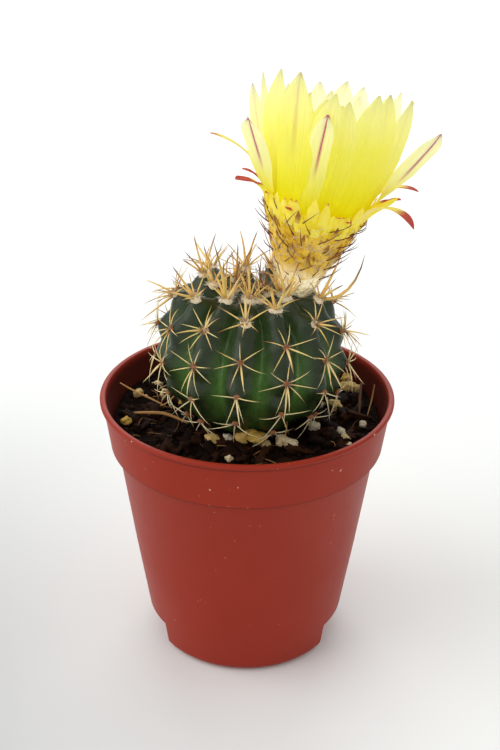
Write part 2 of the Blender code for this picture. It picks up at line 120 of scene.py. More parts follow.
# Soil
SOIL_Z = 46.6 * MM
SOIL_EDGE = 24.8 * MM
SOIL_FOOT_Z = 6 * MM
CRUMBS, CHIPS, SMALL_GRAINS, SMALL_FIBRES = 620, 150, 20, 46
# How a fragment is broken: the axis it tips about, how far in radians, and the depth and
# scale of its roughness.
LUMPY = ("X", 0.5, 0.48, 1.4)
SPLINTERED = ("Y", 0.45, 0.5, 2.2)
# Grains and crumbs that stand out: azimuth in degrees, distance and size in millimetres, tint.
GRAINS = (
    (-93, 10.9, 2.9, 0.9), (-82, 11.1, 3.1, 1.0), (-74, 12.2, 1.6, 0.6), (-107, 11.4, 1.7, 0.0),
    (-119, 12.8, 2.2, 0.8), (-61, 13.6, 2.5, 0.45), (-58, 15.2, 2.1, 0.3), (168, 12.4, 1.8, 1.0),
    (163, 22.0, 1.7, 0.7), (151, 20.0, 1.9, 0.5), (159, 16.8, 1.9, 0.6), (10, 13.4, 2.4, 0.05),
    (-27, 13.9, 2.0, 0.1), (8, 17.0, 2.3, 0.75), (27, 21.6, 2.3, 0.8), (24, 23.0, 2.0, 0.7),
    (34, 23.8, 2.0, 0.95), (-11, 22.0, 1.5, 0.1), (-29, 20.6, 1.6, 0.5), (-24, 19.0, 1.7, 0.1),
    (-168, 22.8, 1.7, 1.0), (-128, 14.6, 1.1, 0.5), (-100, 17.5, 1.2, 0.4), (-34, 22.5, 1.4, 0.2),
)
# Root fibres and straws that stand out: points in millimetres, radius and tint.
FIBRES = (
    (((-24.3, 4.8, 50.4), (-21.5, 3.6, 49.3), (-18.2, 2.2, 48.4), (-15.4, 0.8, 47.6)), 0.24, 0.0),
    (((-17.2, 0.6, 47.5), (-15.3, 1.2, 48.0), (-13.8, 2.8, 48.9), (-13.2, 5.0, 49.6)), 0.2, 0.0),
    (((-21.6, -1.6, 47.4), (-18.6, -2.5, 48), (-15.0, -3.0, 48), (-10.8, -5.4, 47.5)), 0.42, 0.2),
    (((24.3, 5.0, 50.5), (23.6, 2.2, 48.6), (22.6, -1.6, 47.4)), 0.16, 0.3),
    (((21.8, 5.5, 50.6), (21.4, 2.4, 48.6), (21.2, -0.2, 47.2)), 0.3, 1.0),
    (((7.3, -9.8, 50.5), (7.0, -11.6, 48.8), (6.4, -13.4, 47.6)), 0.14, 0.0),
)

# Flower
FLOWER_FOOT = Vector((8.2, 1.9, 70.5)) * MM
FLOWER_TILT = math.radians(11.5)
TUBE_TOP = 18.4 * MM
TUBE_FOOT = -1.2 * MM
TUBE_STEPS = 96
HUSKS, SHORT_SCALES, BRISTLES, WOOL_HAIRS, STAMENS, STIGMA_LOBES = 30, 44, 90, 1100, 70, 9
BRISTLE_RIM = 18.2 * MM
# From the foot to the rim: (radius, height).
TUBE_OUTLINE_MM = (
    (1.9, -1.2), (2.1, 0), (2.6, 0.9), (3.3, 2.6), (4.5, 5.3), (5.6, 8.0), (6.7, 10.8), (7.8, 13.4),
    (8.6, 15.6), (9.1, 17.4), (9.3, 18.4),
)
# Each petal: azimuth in degrees, foot radius in millimetres, lean in degrees, how much it
# curls back, length and half width in millimetres, its twist in degrees, how red its stripe
# is and how pale it is; on the petals the paleness is painted back light.
PETALS = (
    # the front and the sides
    (-105, 8.8, 14, -8, 19.4, 2.0, -12, 1.0, 0.3), (-105, 8.3, 12, -18, 23.2, 2.9, 0, 0.0, 0.1),
    (-127, 8.5, 12, -16, 24.7, 3.0, 10, 0.3, 0.15), (-153, 8.4, 10, -16, 23.2, 2.4, 25, 0.0, 0.25),
    (178, 8.6, 19, -8, 18.9, 1.8, 50, 0.3, 0.5), (163, 8.6, 16, -4, 20.0, 1.3, 55, 0.2, 0.5),
    (-168, 8.9, 27, 0, 14.6, 1.6, 35, 0.0, 0.5), (-154, 9.0, 30, -2, 16.2, 2.2, 35, 1.0, 0.5),
    (-88, 8.3, 9, -18, 21.8, 2.9, 0, 0.0, 0.1), (-70, 8.5, 6, -20, 23.2, 3.3, -5, 0.0, 0.1),
    (-50, 8.6, 2, -20, 22.8, 3.0, -15, 0.1, 0.15), (-22, 8.6, 7, -12, 22.0, 2.3, -35, 0.1, 0.25),
    (-4, 9.0, 27, -7, 18.4, 2.1, -65, 1.0, 0.6), (14, 8.6, 12, -8, 20.2, 1.7, -45, 0.0, 0.4),
    # the back
    (30, 8.4, 12, -14, 20.8, 2.4, 0, 0.1, 0.8), (46, 8.4, 13, -12, 18.8, 2.6, 0, 0.1, 0.9),
    (68, 8.4, 12, -14, 19.2, 2.7, 0, 0.1, 1.0), (86, 8.4, 11, -16, 19.4, 2.9, 0, 0.1, 1.0),
    (102, 8.4, 12, -14, 18.4, 2.8, 0, 0.0, 1.0), (132, 8.4, 14, -12, 17.6, 2.4, 0, 0.0, 0.9),
    (149, 8.4, 12, -10, 13.8, 2.1, 0, 0.0, 0.7),
    # the inner whorl
    (-114, 7.1, 5, -20, 20.8, 3.0, 0, 0.0, 0.1), (-90, 7.1, 4, -20, 20.4, 2.9, 0, 0.0, 0.1),
    (-66, 7.1, 4, -20, 20.6, 2.9, 0, 0.0, 0.1), (-42, 7.1, 3, -20, 20.6, 2.9, 0, 0.0, 0.1),
    (-18, 7.1, 3, -18, 20.2, 2.6, 0, 0.0, 0.2), (10, 7.0, 5, -16, 19.6, 2.5, 0, 0.0, 0.5),
    (38, 7.0, 7, -16, 18.6, 2.6, 0, 0.0, 0.8), (66, 7.0, 8, -16, 18.4, 2.6, 0, 0.0, 1.0),
    (94, 7.0, 8, -16, 18.2, 2.6, 0, 0.0, 1.0), (122, 7.0, 7, -16, 16.4, 2.6, 0, 0.0, 0.9),
    (150, 7.0, 7, -16, 18.0, 2.5, 0, 0.0, 0.6), (-162, 7.0, 6, -18, 20.8, 2.7, 0, 0.0, 0.2),
    (-137, 7.0, 5, -18, 21.0, 2.8, 0, 0.0, 0.1),
)
# Outer scales, in the same terms.
OUTER_SCALES = (
    (178, 8.8, 54, 78, 16.0, 1.0, 30, 0.3, 0.5), (184, 9.1, 52, 85, 7.2, 0.6, 30, 1.0, 0),
    (194, 9.1, 66, 100, 7.6, 1.3, 40, 1.0, 0), (6, 8.9, 57, 112, 12.2, 1.05, -40, 0.6, 0.6),
    (-12, 9.0, 46, 70, 7.8, 1.35, -30, 0.85, 0), (-34, 9.1, 74, 125, 13.2, 1.05, -20, 0.7, 0.5),
    (-24, 9.0, 40, 30, 7.8, 2.0, -20, 0.0, 0.0), (24, 9.0, 62, 100, 10.0, 0.9, 0, 0.6, 0.3),
    (60, 9.1, 60, 95, 9.0, 0.9, 0, 0.7, 0.3), (105, 9.1, 62, 100, 10.0, 0.9, 0, 0.6, 0.3),
    (140, 9.1, 60, 90, 9.0, 0.9, 0, 0.8, 0.3),
)
# Short scales folded over at the tube's edge: azimuth, height in millimetres, size, red.
FOLDED_SCALES = (
    (-148, 18.0, 3.4, 0.5), (-122, 17.4, 3.0, 1.0), (-74, 17.6, 3.6, 0.6), (-60, 17.2, 2.6, 0.8),
    (30, 17.0, 2.4, 0.7), (85, 16.8, 2.4, 0.8), (130, 17.2, 2.6, 0.7), (160, 16.8, 2.2, 0.8),
)

# Studio
FLOOR_HALF = 3.0
SKY_STRENGTH = 0.68
# Round lights: name, place and what it shines at in metres, and power in watts.
LIGHTS = (
    ("window", (-0.75, -0.15, 0.6), (0, 0, 0.05), 4.2),
    ("back_window", (0, 1.0, 0.6), (0, 0.35, 0), 6),
)
LIGHT_WIDTH = 1.0
CAMERA_AIM_Z = 30 * MM
CAMERA_PITCH = math.radians(27.17)
CAMERA_ROLL = math.radians(0.66)
CAMERA_DISTANCE = 253.3 * MM
CAMERA_SHIFT = (0.49 * MM, 22.12 * MM)
CAMERA_LENS_MM = 62.4
CAMERA_SENSOR_MM = 36


def clamp(value):
    """The value, kept between 0 and 1."""
    return min(1, max(0, value))


def towards(azimuth, rise=0):
    """The level direction at this azimuth, or a raised one."""
    return Vector((math.cos(azimuth), math.sin(azimuth), rise))


# ---- Shader maths


class Socket:
    """An output socket that takes part in Python expressions by adding Math nodes."""

    def __init__(self, finish, socket):
        self.finish = finish
        self.socket = socket

    def maths(self, operation, *values):
        return self.finish.node("ShaderNodeMath", dict(enumerate(values)), operation=operation)

    def __add__(self, other):
        return self.maths("ADD", self, other)

    def __radd__(self, other):
        return self.maths("ADD", other, self)

    def __sub__(self, other):
        return self.maths("SUBTRACT", self, other)

    def __rsub__(self, other):
        return self.maths("SUBTRACT", other, self)

    def __mul__(self, other):
        return self.maths("MULTIPLY", self, other)

    def __rmul__(self, other):
        return self.maths("MULTIPLY", other, self)


class Finish:
    """A material with one Principled shader, and one method that adds any other node."""

    def __init__(self, name, **constants):
        self.material = bpy.data.materials.new(name)
        self.material.use_nodes = True
        self.tree = self.material.node_tree
        self.shader = self.tree.nodes["Principled BSDF"]
        for socket, value in constants.items():
            self.shader.inputs[socket.replace("_", " ")].default_value = value

    def feed(self, socket, value):
        """Links the value to the input, or sets it there."""
        if isinstance(value, Socket):
            self.tree.links.new(value.socket, socket)
        elif isinstance(value, tuple) and len(value) == 3 and socket.type == "RGBA":
            socket.default_value = (*value, 1)
        else:
            socket.default_value = value

    def node(self, kind, inputs=None, output=0, **settings):
        """Adds a node and gives one of its outputs."""
        made = self.tree.nodes.new(kind)
        for setting, value in settings.items():
            setattr(made, setting, value)
        for socket, value in (inputs or {}).items():
            self.feed(made.inputs[socket], value)
        return Socket(self, made.outputs[output])

    def place(self):
        return self.node("ShaderNodeTexCoord", output="Object")

    def along_axis(self, axis):
        """How far along the X, Y or Z axis a point lies."""
        return self.node("ShaderNodeSeparateXYZ", {0: self.place()}, axis)

    def distance(self, scale=(1, 1, 1)):
        """How far a point lies from the origin, with its place scaled first."""
        factors = {0: self.place(), 1: scale}
        scaled = self.node("ShaderNodeVectorMath", factors, operation="MULTIPLY")
        return self.node("ShaderNodeVectorMath", {0: scaled}, "Value", operation="LENGTH")

    def kept(self, attribute):
        """A number kept on the mesh's points."""
        return self.node("ShaderNodeAttribute", output="Fac", attribute_name=attribute)

    def grain(self, size, detail=3.0, roughness=0.55, stretch=(1, 1, 1)):
        """Noise whose lumps are about this size across, from 0 to 1."""
        where = self.node("ShaderNodeMapping", {"Vector": self.place(), "Scale": stretch})
        return self.node(
            "ShaderNodeTexNoise",
            {"Vector": where, "Scale": 1 / size, "Detail": detail, "Roughness": roughness},
        )

    def step(self, value, low, high):
        """0 below low, 1 above high, and smooth between them."""
        limits = {"Value": value, "From Min": low, "From Max": high}
        return self.node("ShaderNodeMapRange", limits, interpolation_type="SMOOTHSTEP")

    def mix(self, share, first, second):
        """The first colour at share 0, and the second at share 1."""
        colours = {0: share, 6: first, 7: second}
        return self.node("ShaderNodeMix", colours, 2, data_type="RGBA")

    def ramp(self, value, stops):
        """A colour read off (position, colour) stops."""
        made = self.node("ShaderNodeValToRGB", {0: value})
        elements = made.socket.node.color_ramp.elements
        while len(elements) < len(stops):
            elements.new(1)
        for element, (place, colour) in zip(elements, stops):
            element.position = place
            element.color = (*colour, 1)
        return made

    def raise_by(self, height, depth):
        """Bumps of this depth in metres where height is 1."""
        bump = {"Height": height, "Distance": depth, "Strength": 1}
        self.feed(self.shader.inputs["Normal"], self.node("ShaderNodeBump", bump))

    def colour(self, value):
        self.feed(self.shader.inputs["Base Color"], value)

    def glow(self, value):
        self.feed(self.shader.inputs["Emission Color"], value)

    def roughness(self, value):
        self.feed(self.shader.inputs["Roughness"], value)


# ---- Mesh helpers


def kept_mesh(name, bm):
    """Keeps a bmesh as a mesh, and frees it."""
    mesh = bpy.data.meshes.new(name)
    bm.to_mesh(mesh)
    bm.free()
    return mesh


def added(name, data):
    """A new object in the scene."""
    made = bpy.data.objects.new(name, data)
    bpy.context.scene.collection.objects.link(made)
    return made


def smooth_curve(points, per_span):
    """A Catmull-Rom curve through the points, with that many steps between two of them."""
    knots = [Vector(p) for p in (points[0], *points, points[-1])]
    curve = []
    for a, b, c, d in zip(knots, knots[1:], knots[2:], knots[3:]):
        for i in range(per_span):
            t = i / per_span
            curve.append(
                0.5 * (2 * b + (c - a) * t + (2 * a - 5 * b + 4 * c - d) * t**2
                       + (3 * b - a - 3 * c + d) * t**3)
            )
    curve.append(knots[-1])
    return curve


def arc(centre, radius, start, end, steps):
    """(radius, height) pairs along a circle in the outline's plane, angles in degrees."""
    angles = [math.radians(start + (end - start) * i / steps) for i in range(steps + 1)]
    return [(centre[0] + radius * math.cos(a), centre[1] + radius * math.sin(a)) for a in angles]


def in_metres(pairs_mm):
    """(radius, height) pairs, turned from millimetres into metres."""
    return [(radius * MM, height * MM) for radius, height in pairs_mm]


def turned(outline, steps):
    """A bmesh made by turning an outline of (radius, height) pairs about the Z axis."""
    bm = bmesh.new()
    corners = [bm.verts.new((radius, 0, height)) for radius, height in outline]
    edges = [bm.edges.new(pair) for pair in zip(corners, corners[1:])]
    bmesh.ops.spin(
        bm, geom=corners + edges, axis=UP, cent=(0, 0, 0), steps=steps, angle=math.tau,
        use_merge=True,
    )
    bmesh.ops.remove_doubles(bm, verts=bm.verts, dist=0.001 * MM)
    bmesh.ops.recalc_face_normals(bm, faces=bm.faces)
    return bm


def piece(name, bm, finish, replaces=()):
    """Makes the bmesh a finished piece of the plant."""
    mesh = kept_mesh(name, bm)
    mesh.materials.append(finish.material)
    mesh.shade_smooth()
    made = added(name, mesh)
    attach(made, "root")
    if replaces:
        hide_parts(*replaces)
    return made


# ---- Finishes


def pot_plastic():
    """Moulded plastic: painted shade inside the collar, painted shadow lines under the ledge and
    the lip, and a few pale scuffs outside.
    """
    finish = Finish("terracotta_plastic", Roughness=0.42, Specular_IOR_Level=0.12)
    height = finish.along_axis("Z")
    skin = COLLAR_FOOT_RADIUS + (height - COLLAR_FOOT_Z) * COLLAR_SLOPE
    inside = finish.step(skin - finish.distance((1, 1, 0)), 0.3 * MM, 0.6 * MM)
    inside = inside * finish.step(height, POT_TOP - 0.5 * MM, POT_TOP - 1.7 * MM)
    inside = inside * finish.step(height, COLLAR_FOOT_Z + 0.5 * MM, COLLAR_FOOT_Z + 2.5 * MM)
    clouds = finish.grain(14 * MM, 2)
    specks = finish.step(finish.grain(1.1 * MM, 5, 0.65), 0.655, 0.7)
    seldom = finish.step(finish.grain(7 * MM, 3), 0.49, 0.58)
    near_ledge = finish.step(height, 36 * MM, 43 * MM)
    scuffs = specks * seldom * (0.25 + 0.75 * near_ledge)
    colour = finish.mix(clouds, (0.30, 0.026, 0.012), (0.35, 0.034, 0.016))
    colour = finish.mix(scuffs * 0.9, colour, (0.8, 0.55, 0.45))
    # Painted shadow: thin dark lines just under the collar's ledge and just under the lip.
    below_ledge = finish.step(height, COLLAR_FOOT_Z - 0.7 * MM, COLLAR_FOOT_Z - 0.1 * MM)
    painted_shadow_lines = below_ledge * finish.step(height, COLLAR_FOOT_Z + 0.5 * MM, COLLAR_FOOT_Z + 0.2 * MM)
    under_lip = POT_TOP - LIP_HEIGHT
    below_lip = finish.step(height, under_lip - 0.7 * MM, under_lip - 0.2 * MM)
    painted_shadow_lines = painted_shadow_lines + below_lip * finish.step(height, under_lip + 0.3 * MM, under_lip)
    colour = finish.mix(0.6 * painted_shadow_lines, colour, (0.12, 0.014, 0.008))
    # Painted shade: the inside wall above the soil is darkened in its colour, with a mottle in it.
    inner_shade_mottle = finish.grain(1.5 * MM, 4)
    painted_inner_shade = finish.mix(inner_shade_mottle, (0.025, 0.004, 0.002), (0.08, 0.013, 0.007))
    finish.colour(finish.mix(inside * 0.85, colour, painted_inner_shade))
    finish.roughness(0.36 + 0.12 * finish.grain(5 * MM, 4) + 0.2 * scuffs + 0.3 * inside)
    finish.raise_by(finish.grain(0.5 * MM, 3) + 2 * scuffs, 0.012 * MM)
    return finish


def soil_mix():
    finish = Finish("potting_mix", Roughness=0.95, Specular_IOR_Level=0.06)
    crumbs = finish.grain(1.6 * MM, 6, 0.7)
    finish.colour(finish.ramp(crumbs, (
        (0.3, (0.004, 0.002, 0.0015)), (0.55, (0.011, 0.006, 0.004)), (0.75, (0.04, 0.018, 0.01)),
    )))
    finish.raise_by(crumbs, 0.8 * MM)
    return finish


def stem_skin():
    """Dark waxy crests, brighter furrows with a pale thread along their bottom."""
    finish = Finish("green_skin", Roughness=0.4, Specular_IOR_Level=0.38)
    furrow = finish.kept("furrow")
    height = finish.along_axis("Z")
    mottle = finish.grain(1.2 * MM, 4)
    blotches = finish.grain(4.5 * MM, 3)
    crest = finish.mix(mottle, (0.008, 0.018, 0.005), (0.026, 0.044, 0.012))
    valley = finish.mix(mottle, (0.055, 0.15, 0.02), (0.155, 0.31, 0.07))
    lit = finish.step(furrow + 0.5 * (blotches - 0.5), 0.05, 0.9)
    lit = lit * (0.25 + 0.75 * finish.step(height, 68 * MM, 58 * MM))
    skin = finish.mix(lit, crest, valley)
    streaks = finish.grain(0.7 * MM, 4, 0.6, stretch=(1, 1, 0.12))
    thread = finish.step(furrow, 0.72, 1.0) * finish.step(streaks, 0.4, 0.65)
    finish.colour(finish.mix(0.4 * thread * lit, skin, (0.22, 0.38, 0.15)))
    finish.roughness(0.24 + 0.24 * mottle)
    finish.raise_by(finish.grain(0.6 * MM, 3) + 0.8 * blotches, 0.07 * MM)
    return finish


def spine_horn():
    """Straw to gold, with dark roots and tips."""
    finish = Finish(
        "spine_gold", Roughness=0.45, Subsurface_Weight=0.25, Subsurface_Scale=0.4 * MM
    )
    body = finish.mix(finish.kept("gold"), (0.93, 0.8, 0.5), (0.92, 0.62, 0.16))
    finish.colour(finish.mix(finish.kept("dark"), body, (0.12, 0.018, 0.012)))
    finish.roughness(0.4 + 0.15 * finish.grain(0.4 * MM, 2))
    return finish


def areole_felt():
    """Cream wool on the young pads and brown felt on the old ones, glowing with painted light."""
    finish = Finish("areole_felt", Roughness=0.95, Sheen_Weight=0.3, Emission_Strength=0.18)
    fluff = finish.grain(0.25 * MM, 4, 0.7)
    white = finish.mix(fluff, (0.76, 0.58, 0.36), (0.97, 0.87, 0.66))
    brown = finish.mix(fluff, (0.12, 0.025, 0.01), (0.42, 0.15, 0.04))
    felt = finish.mix(finish.kept("dark"), white, brown)
    finish.colour(felt)
    # Painted light: the felt glows with its own colour.
    finish.glow(felt)
    finish.raise_by(fluff, 0.25 * MM)
    return finish


def fine_hair():
    finish = Finish("fine_hair", Roughness=0.7, Sheen_Weight=0.3)
    pale = finish.mix(finish.kept("gold"), (0.85, 0.8, 0.68), (0.75, 0.55, 0.2))
    finish.colour(finish.mix(finish.kept("dark"), pale, (0.09, 0.02, 0.012)))
    return finish


def tube_skin():
    """Ochre skin under thin wool: whiter towards the foot, yellow by the petals, glowing with
    painted light that is strongest on the wool.
    """
    finish = Finish(
        "flower_tube_skin", Roughness=0.8, Specular_IOR_Level=0.1, Emission_Strength=0.5
    )
    up = finish.kept("along")
    streaks = finish.grain(1.1 * MM, 5, 0.7, stretch=(1, 1, 0.5))
    patches = finish.grain(3.0 * MM, 4, 0.65)
    skin = finish.ramp(patches, (
        (0.28, (0.48, 0.24, 0.015)), (0.48, (0.78, 0.47, 0.035)), (0.62, (0.9, 0.63, 0.09)),
        (0.78, (0.92, 0.8, 0.36)),
    ))
    brown = finish.step(streaks, 0.5, 0.64) * finish.step(up, 0.3, 0.55)
    skin = finish.mix(0.85 * brown * finish.step(up, 0.98, 0.85), skin, (0.17, 0.05, 0.014))
    wool = finish.step(up + 0.35 * (patches - 0.5), 0.46, 0.2)
    skin = finish.mix(wool * finish.step(streaks, 0.3, 0.5), skin, (0.95, 0.87, 0.6))
    skin = finish.mix(wool * finish.step(patches, 0.55, 0.7), skin, (0.9, 0.62, 0.06))
    skin = finish.mix(0.85 * finish.step(up, 0.72, 0.98), skin, (0.86, 0.7, 0.015))
    finish.colour(skin)
    # Painted light: the skin glows with its own colour, more on the wool towards the foot.
    finish.glow(finish.mix(0.4 + 0.6 * wool, (0, 0, 0), skin))
    finish.raise_by(streaks, 0.5 * MM)
    return finish


def let_light_through(finish, share, tint):
    """Makes the finish partly translucent."""
    glow = finish.node("ShaderNodeBsdfTranslucent", {"Color": tint})
    blend = finish.node("ShaderNodeMixShader", {0: share, 2: glow})
    finish.tree.links.new(finish.shader.outputs[0], blend.socket.node.inputs[1])
    finish.tree.links.new(blend.socket, finish.tree.nodes["Material Output"].inputs[0])


def petal_silk():
    """Thin petals that let light through: deep yellow at the foot and pale at the tip, the pale
    petals whitened by painted back light, and all glowing with painted light.
    """
    # Painted light: the petals glow with their own colour.
    finish = Finish("petal_yellow", Roughness=0.6, Specular_IOR_Level=0.05, Emission_Strength=0.3)
    along = finish.kept("along")
    across = finish.kept("across")
    red = finish.kept("red")
    drawn_out = finish.node("ShaderNodeCombineXYZ", {0: across * 9, 1: along * 1.2})
    strands = {"Vector": drawn_out, "Scale": 1.6, "Detail": 3}
    veins = finish.node("ShaderNodeTexNoise", strands, noise_dimensions="2D")
    yellow = finish.ramp(along, (
        (0.0, (0.79, 0.69, 0.0)), (0.3, (0.8, 0.75, 0.0)), (0.6, (0.82, 0.79, 0.03)),
        (1.0, (0.87, 0.86, 0.5)),
    ))
    # Painted back light: the pale petals are painted paler, towards white along their length.
    pale = finish.mix(finish.step(along, 0.0, 0.65), (0.8, 0.75, 0.01), (0.96, 0.96, 0.85))
    yellow = finish.mix(finish.kept("pale"), yellow, pale)
    light_veins = 0.3 * finish.step(veins, 0.35, 0.7) * finish.step(along, 0.15, 0.8)
    yellow = finish.mix(light_veins, yellow, (0.88, 0.87, 0.36))
    wander = (veins - 0.5) * 0.3
    off_middle = across.maths("ABSOLUTE", across + wander - 0.1)
    stripe = finish.step(off_middle, 0.2, 0.07) * finish.step(along, 0.3, 0.7) * red
    tip = finish.step(along, 0.95, 1.0) * red
    marks = stripe.maths("MAXIMUM", stripe, tip)
    petal = finish.mix(marks, yellow, (0.4, 0.012, 0.04))
    finish.colour(petal)
    # Painted back light: the pale petals glow whiter, and let less light through there.
    painted_back_light = 0.8 * finish.kept("pale") * finish.step(along, 0.1, 0.8)
    finish.glow(finish.mix(painted_back_light, petal, (1, 1, 1)))
    finish.raise_by(veins, 0.15 * MM)
    let_light_through(finish, 0.4 - 0.35 * marks - 0.25 * painted_back_light, (0.95, 0.92, 0.03))
    return finish


def scale_skin():
    """The outer scales: yellow at the foot, brick red towards the tip, glowing with painted light.
    """
    finish = Finish("sepal_red", Roughness=0.55, Specular_IOR_Level=0.1, Emission_Strength=0.3)
    along = finish.kept("along")
    red = finish.kept("red")
    blotch = finish.grain(1.2 * MM, 3)
    yellow = finish.mix(blotch, (0.78, 0.68, 0.01), (0.86, 0.8, 0.12))
    cream = finish.mix(blotch, (0.72, 0.6, 0.2), (0.88, 0.84, 0.5))
    pale = finish.mix(finish.kept("pale"), yellow, cream)
    deep = finish.mix(blotch, (0.36, 0.02, 0.035), (0.55, 0.11, 0.08))
    reddened = finish.step(along + 0.3 * (blotch - 0.5), 1.05 - 0.65 * red, 1.25 - 0.65 * red)
    skin = finish.mix(reddened * finish.step(red, 0.0, 0.3), pale, deep)
    finish.colour(skin)
    # Painted light: the scales glow with their own colour.
    finish.glow(skin)
    finish.raise_by(blotch, 0.1 * MM)
    let_light_through(finish, 0.2, (0.85, 0.6, 0.15))
    return finish


def husk_skin():
    """Dry brown scales pressed to the tube."""
    finish = Finish("husk_brown", Roughness=0.8, Specular_IOR_Level=0.2)
    blotch = finish.grain(0.8 * MM, 3)
    light = finish.mix(blotch, (0.7, 0.4, 0.03), (0.84, 0.6, 0.12))
    dark = finish.mix(blotch, (0.14, 0.03, 0.012), (0.46, 0.11, 0.04))
    shade = finish.step(finish.kept("along") + 0.4 * (blotch - 0.5), 0.1, 0.7)
    finish.colour(finish.mix(shade * finish.kept("red"), light, dark))
    finish.raise_by(blotch, 0.1 * MM)
    return finish


def stamen_pollen():
    finish = Finish("stamen_yellow", Roughness=0.7)
    finish.colour(finish.mix(finish.kept("along"), (0.75, 0.62, 0.05), (0.85, 0.55, 0.03)))
    finish.raise_by(finish.grain(0.2 * MM, 2), 0.1 * MM)
    return finish


def stigma_velvet():
    finish = Finish("stigma_red", Roughness=0.6, Sheen_Weight=0.3)
    fuzz = finish.grain(0.2 * MM, 3)
    finish.colour(finish.mix(fuzz, (0.28, 0.01, 0.02), (0.45, 0.04, 0.05)))
    finish.raise_by(fuzz, 0.1 * MM)
    return finish


def crumb_peat():
    finish = Finish("crumb_peat", Roughness=0.95, Specular_IOR_Level=0.06)
    crumbs = finish.grain(0.7 * MM, 4, 0.7, stretch=(1, 0.5, 1))
    dark = finish.mix(crumbs, (0.003, 0.0012, 0.0007), (0.017, 0.006, 0.003))
    warm = finish.mix(crumbs, (0.01, 0.0035, 0.0015), (0.075, 0.026, 0.01))
    finish.colour(finish.mix(finish.kept("tint"), dark, warm))
    finish.roughness(0.6 + 0.35 * crumbs)
    finish.raise_by(crumbs, 0.35 * MM)
    return finish


def pumice_stone():
    finish = Finish("pumice", Roughness=0.9)
    pores = finish.grain(0.5 * MM, 4, 0.7)
    pits = finish.step(finish.grain(0.9 * MM, 3), 0.45, 0.3)
    white = finish.mix(pores, (0.62, 0.5, 0.3), (0.9, 0.86, 0.7))
    ochre = finish.mix(pores, (0.5, 0.24, 0.02), (0.9, 0.62, 0.13))
    stone = finish.mix(finish.kept("tint"), white, ochre)
    finish.colour(finish.mix(0.45 * pits, stone, (0.1, 0.045, 0.015)))
    finish.raise_by(pores, 0.4 * MM)
    return finish


def dry_fibre():
    finish = Finish("root_fibre", Roughness=0.75)
    strands = finish.grain(0.6 * MM, 3)
    pale = finish.mix(strands, (0.32, 0.13, 0.025), (0.58, 0.3, 0.07))
    finish.colour(finish.mix(finish.kept("tint"), pale, (0.12, 0.045, 0.018)))
    finish.raise_by(strands, 0.1 * MM)
    return finish


# ---- Pot


def pot_outline():
    """Down the outside from the lip to the floor, and back up the inside."""
    soft = 0.4 * MM
    lip_inner = RIM_RADIUS - LIP_WIDTH
    under_lip = POT_TOP - LIP_HEIGHT
    ledge = 0.25 * MM
    foot = (WALL_FOOT_RADIUS - FOOT_ROUND, FOOT_ROUND)
    return [
        *arc((lip_inner + soft, POT_TOP - soft), soft, 180, 90, 5),
        *arc((RIM_RADIUS - soft, POT_TOP - soft), soft, 90, 0, 5),
        (RIM_RADIUS - 0.02 * MM, under_lip + 0.25 * MM),
        (RIM_RADIUS - 0.25 * MM, under_lip),
        (COLLAR_TOP_RADIUS, under_lip - 0.25 * MM),
        (COLLAR_FOOT_RADIUS + 0.02 * MM, COLLAR_FOOT_Z + 2 * ledge),
        *arc((COLLAR_FOOT_RADIUS - ledge, COLLAR_FOOT_Z + ledge), ledge, 0, -90, 3),
        (WALL_TOP_RADIUS + 0.15 * MM, COLLAR_FOOT_Z - 0.02 * MM),
        (WALL_TOP_RADIUS, COLLAR_FOOT_Z - 0.3 * MM),
        ((WALL_TOP_RADIUS + WALL_FOOT_RADIUS) / 2, COLLAR_FOOT_Z / 2),
        *arc(foot, FOOT_ROUND, -8, -90, 6),
        (0, 0),
        (0, POT_WALL),
        (foot[0], POT_WALL),
        (foot[0] + FOOT_ROUND - POT_WALL, FOOT_ROUND),
        (WALL_TOP_RADIUS - POT_WALL, COLLAR_FOOT_Z),
        (COLLAR_FOOT_RADIUS - POT_WALL, COLLAR_FOOT_Z + 1.2 * MM),
        (COLLAR_TOP_RADIUS - POT_WALL, under_lip - 0.3 * MM),
        (lip_inner, POT_TOP - soft),
    ]


def cutter(name, bm, azimuth):
    bm.transform(Matrix.Rotation(math.radians(azimuth), 4, "Z"))
    return added(name, kept_mesh(name, bm))


def ring_sector(outline, half_angle):
    """A closed outline of (radius, height) points, swept half_angle to each side of +X."""
    bm = bmesh.new()
    face = bm.faces.new([bm.verts.new((radius, 0, height)) for radius, height in outline])
    bmesh.ops.rotate(
        bm, verts=bm.verts, cent=(0, 0, 0), matrix=Matrix.Rotation(-half_angle, 3, "Z")
    )
    bmesh.ops.spin(
        bm, geom=[face, *face.edges, *face.verts], cent=(0, 0, 0), axis=UP,
        angle=2 * half_angle, steps=SECTOR_STEPS,
    )
    bmesh.ops.recalc_face_normals(bm, faces=bm.faces)
    return bm


def cut(obj, tools):
    """Applies (operation, cutter) pairs to the object's mesh and removes the cutters."""
    for operation, tool in tools:
        modifier = obj.modifiers.new(tool.name, "BOOLEAN")
        modifier.operation = operation
        modifier.object = tool
    bpy.context.view_layer.update()
    shaped = obj.evaluated_get(bpy.context.evaluated_depsgraph_get())
    mesh = bpy.data.meshes.new_from_object(shaped)
    obj.modifiers.clear()
    obj.data = mesh
    for _, tool in tools:
        bpy.data.objects.remove(tool)


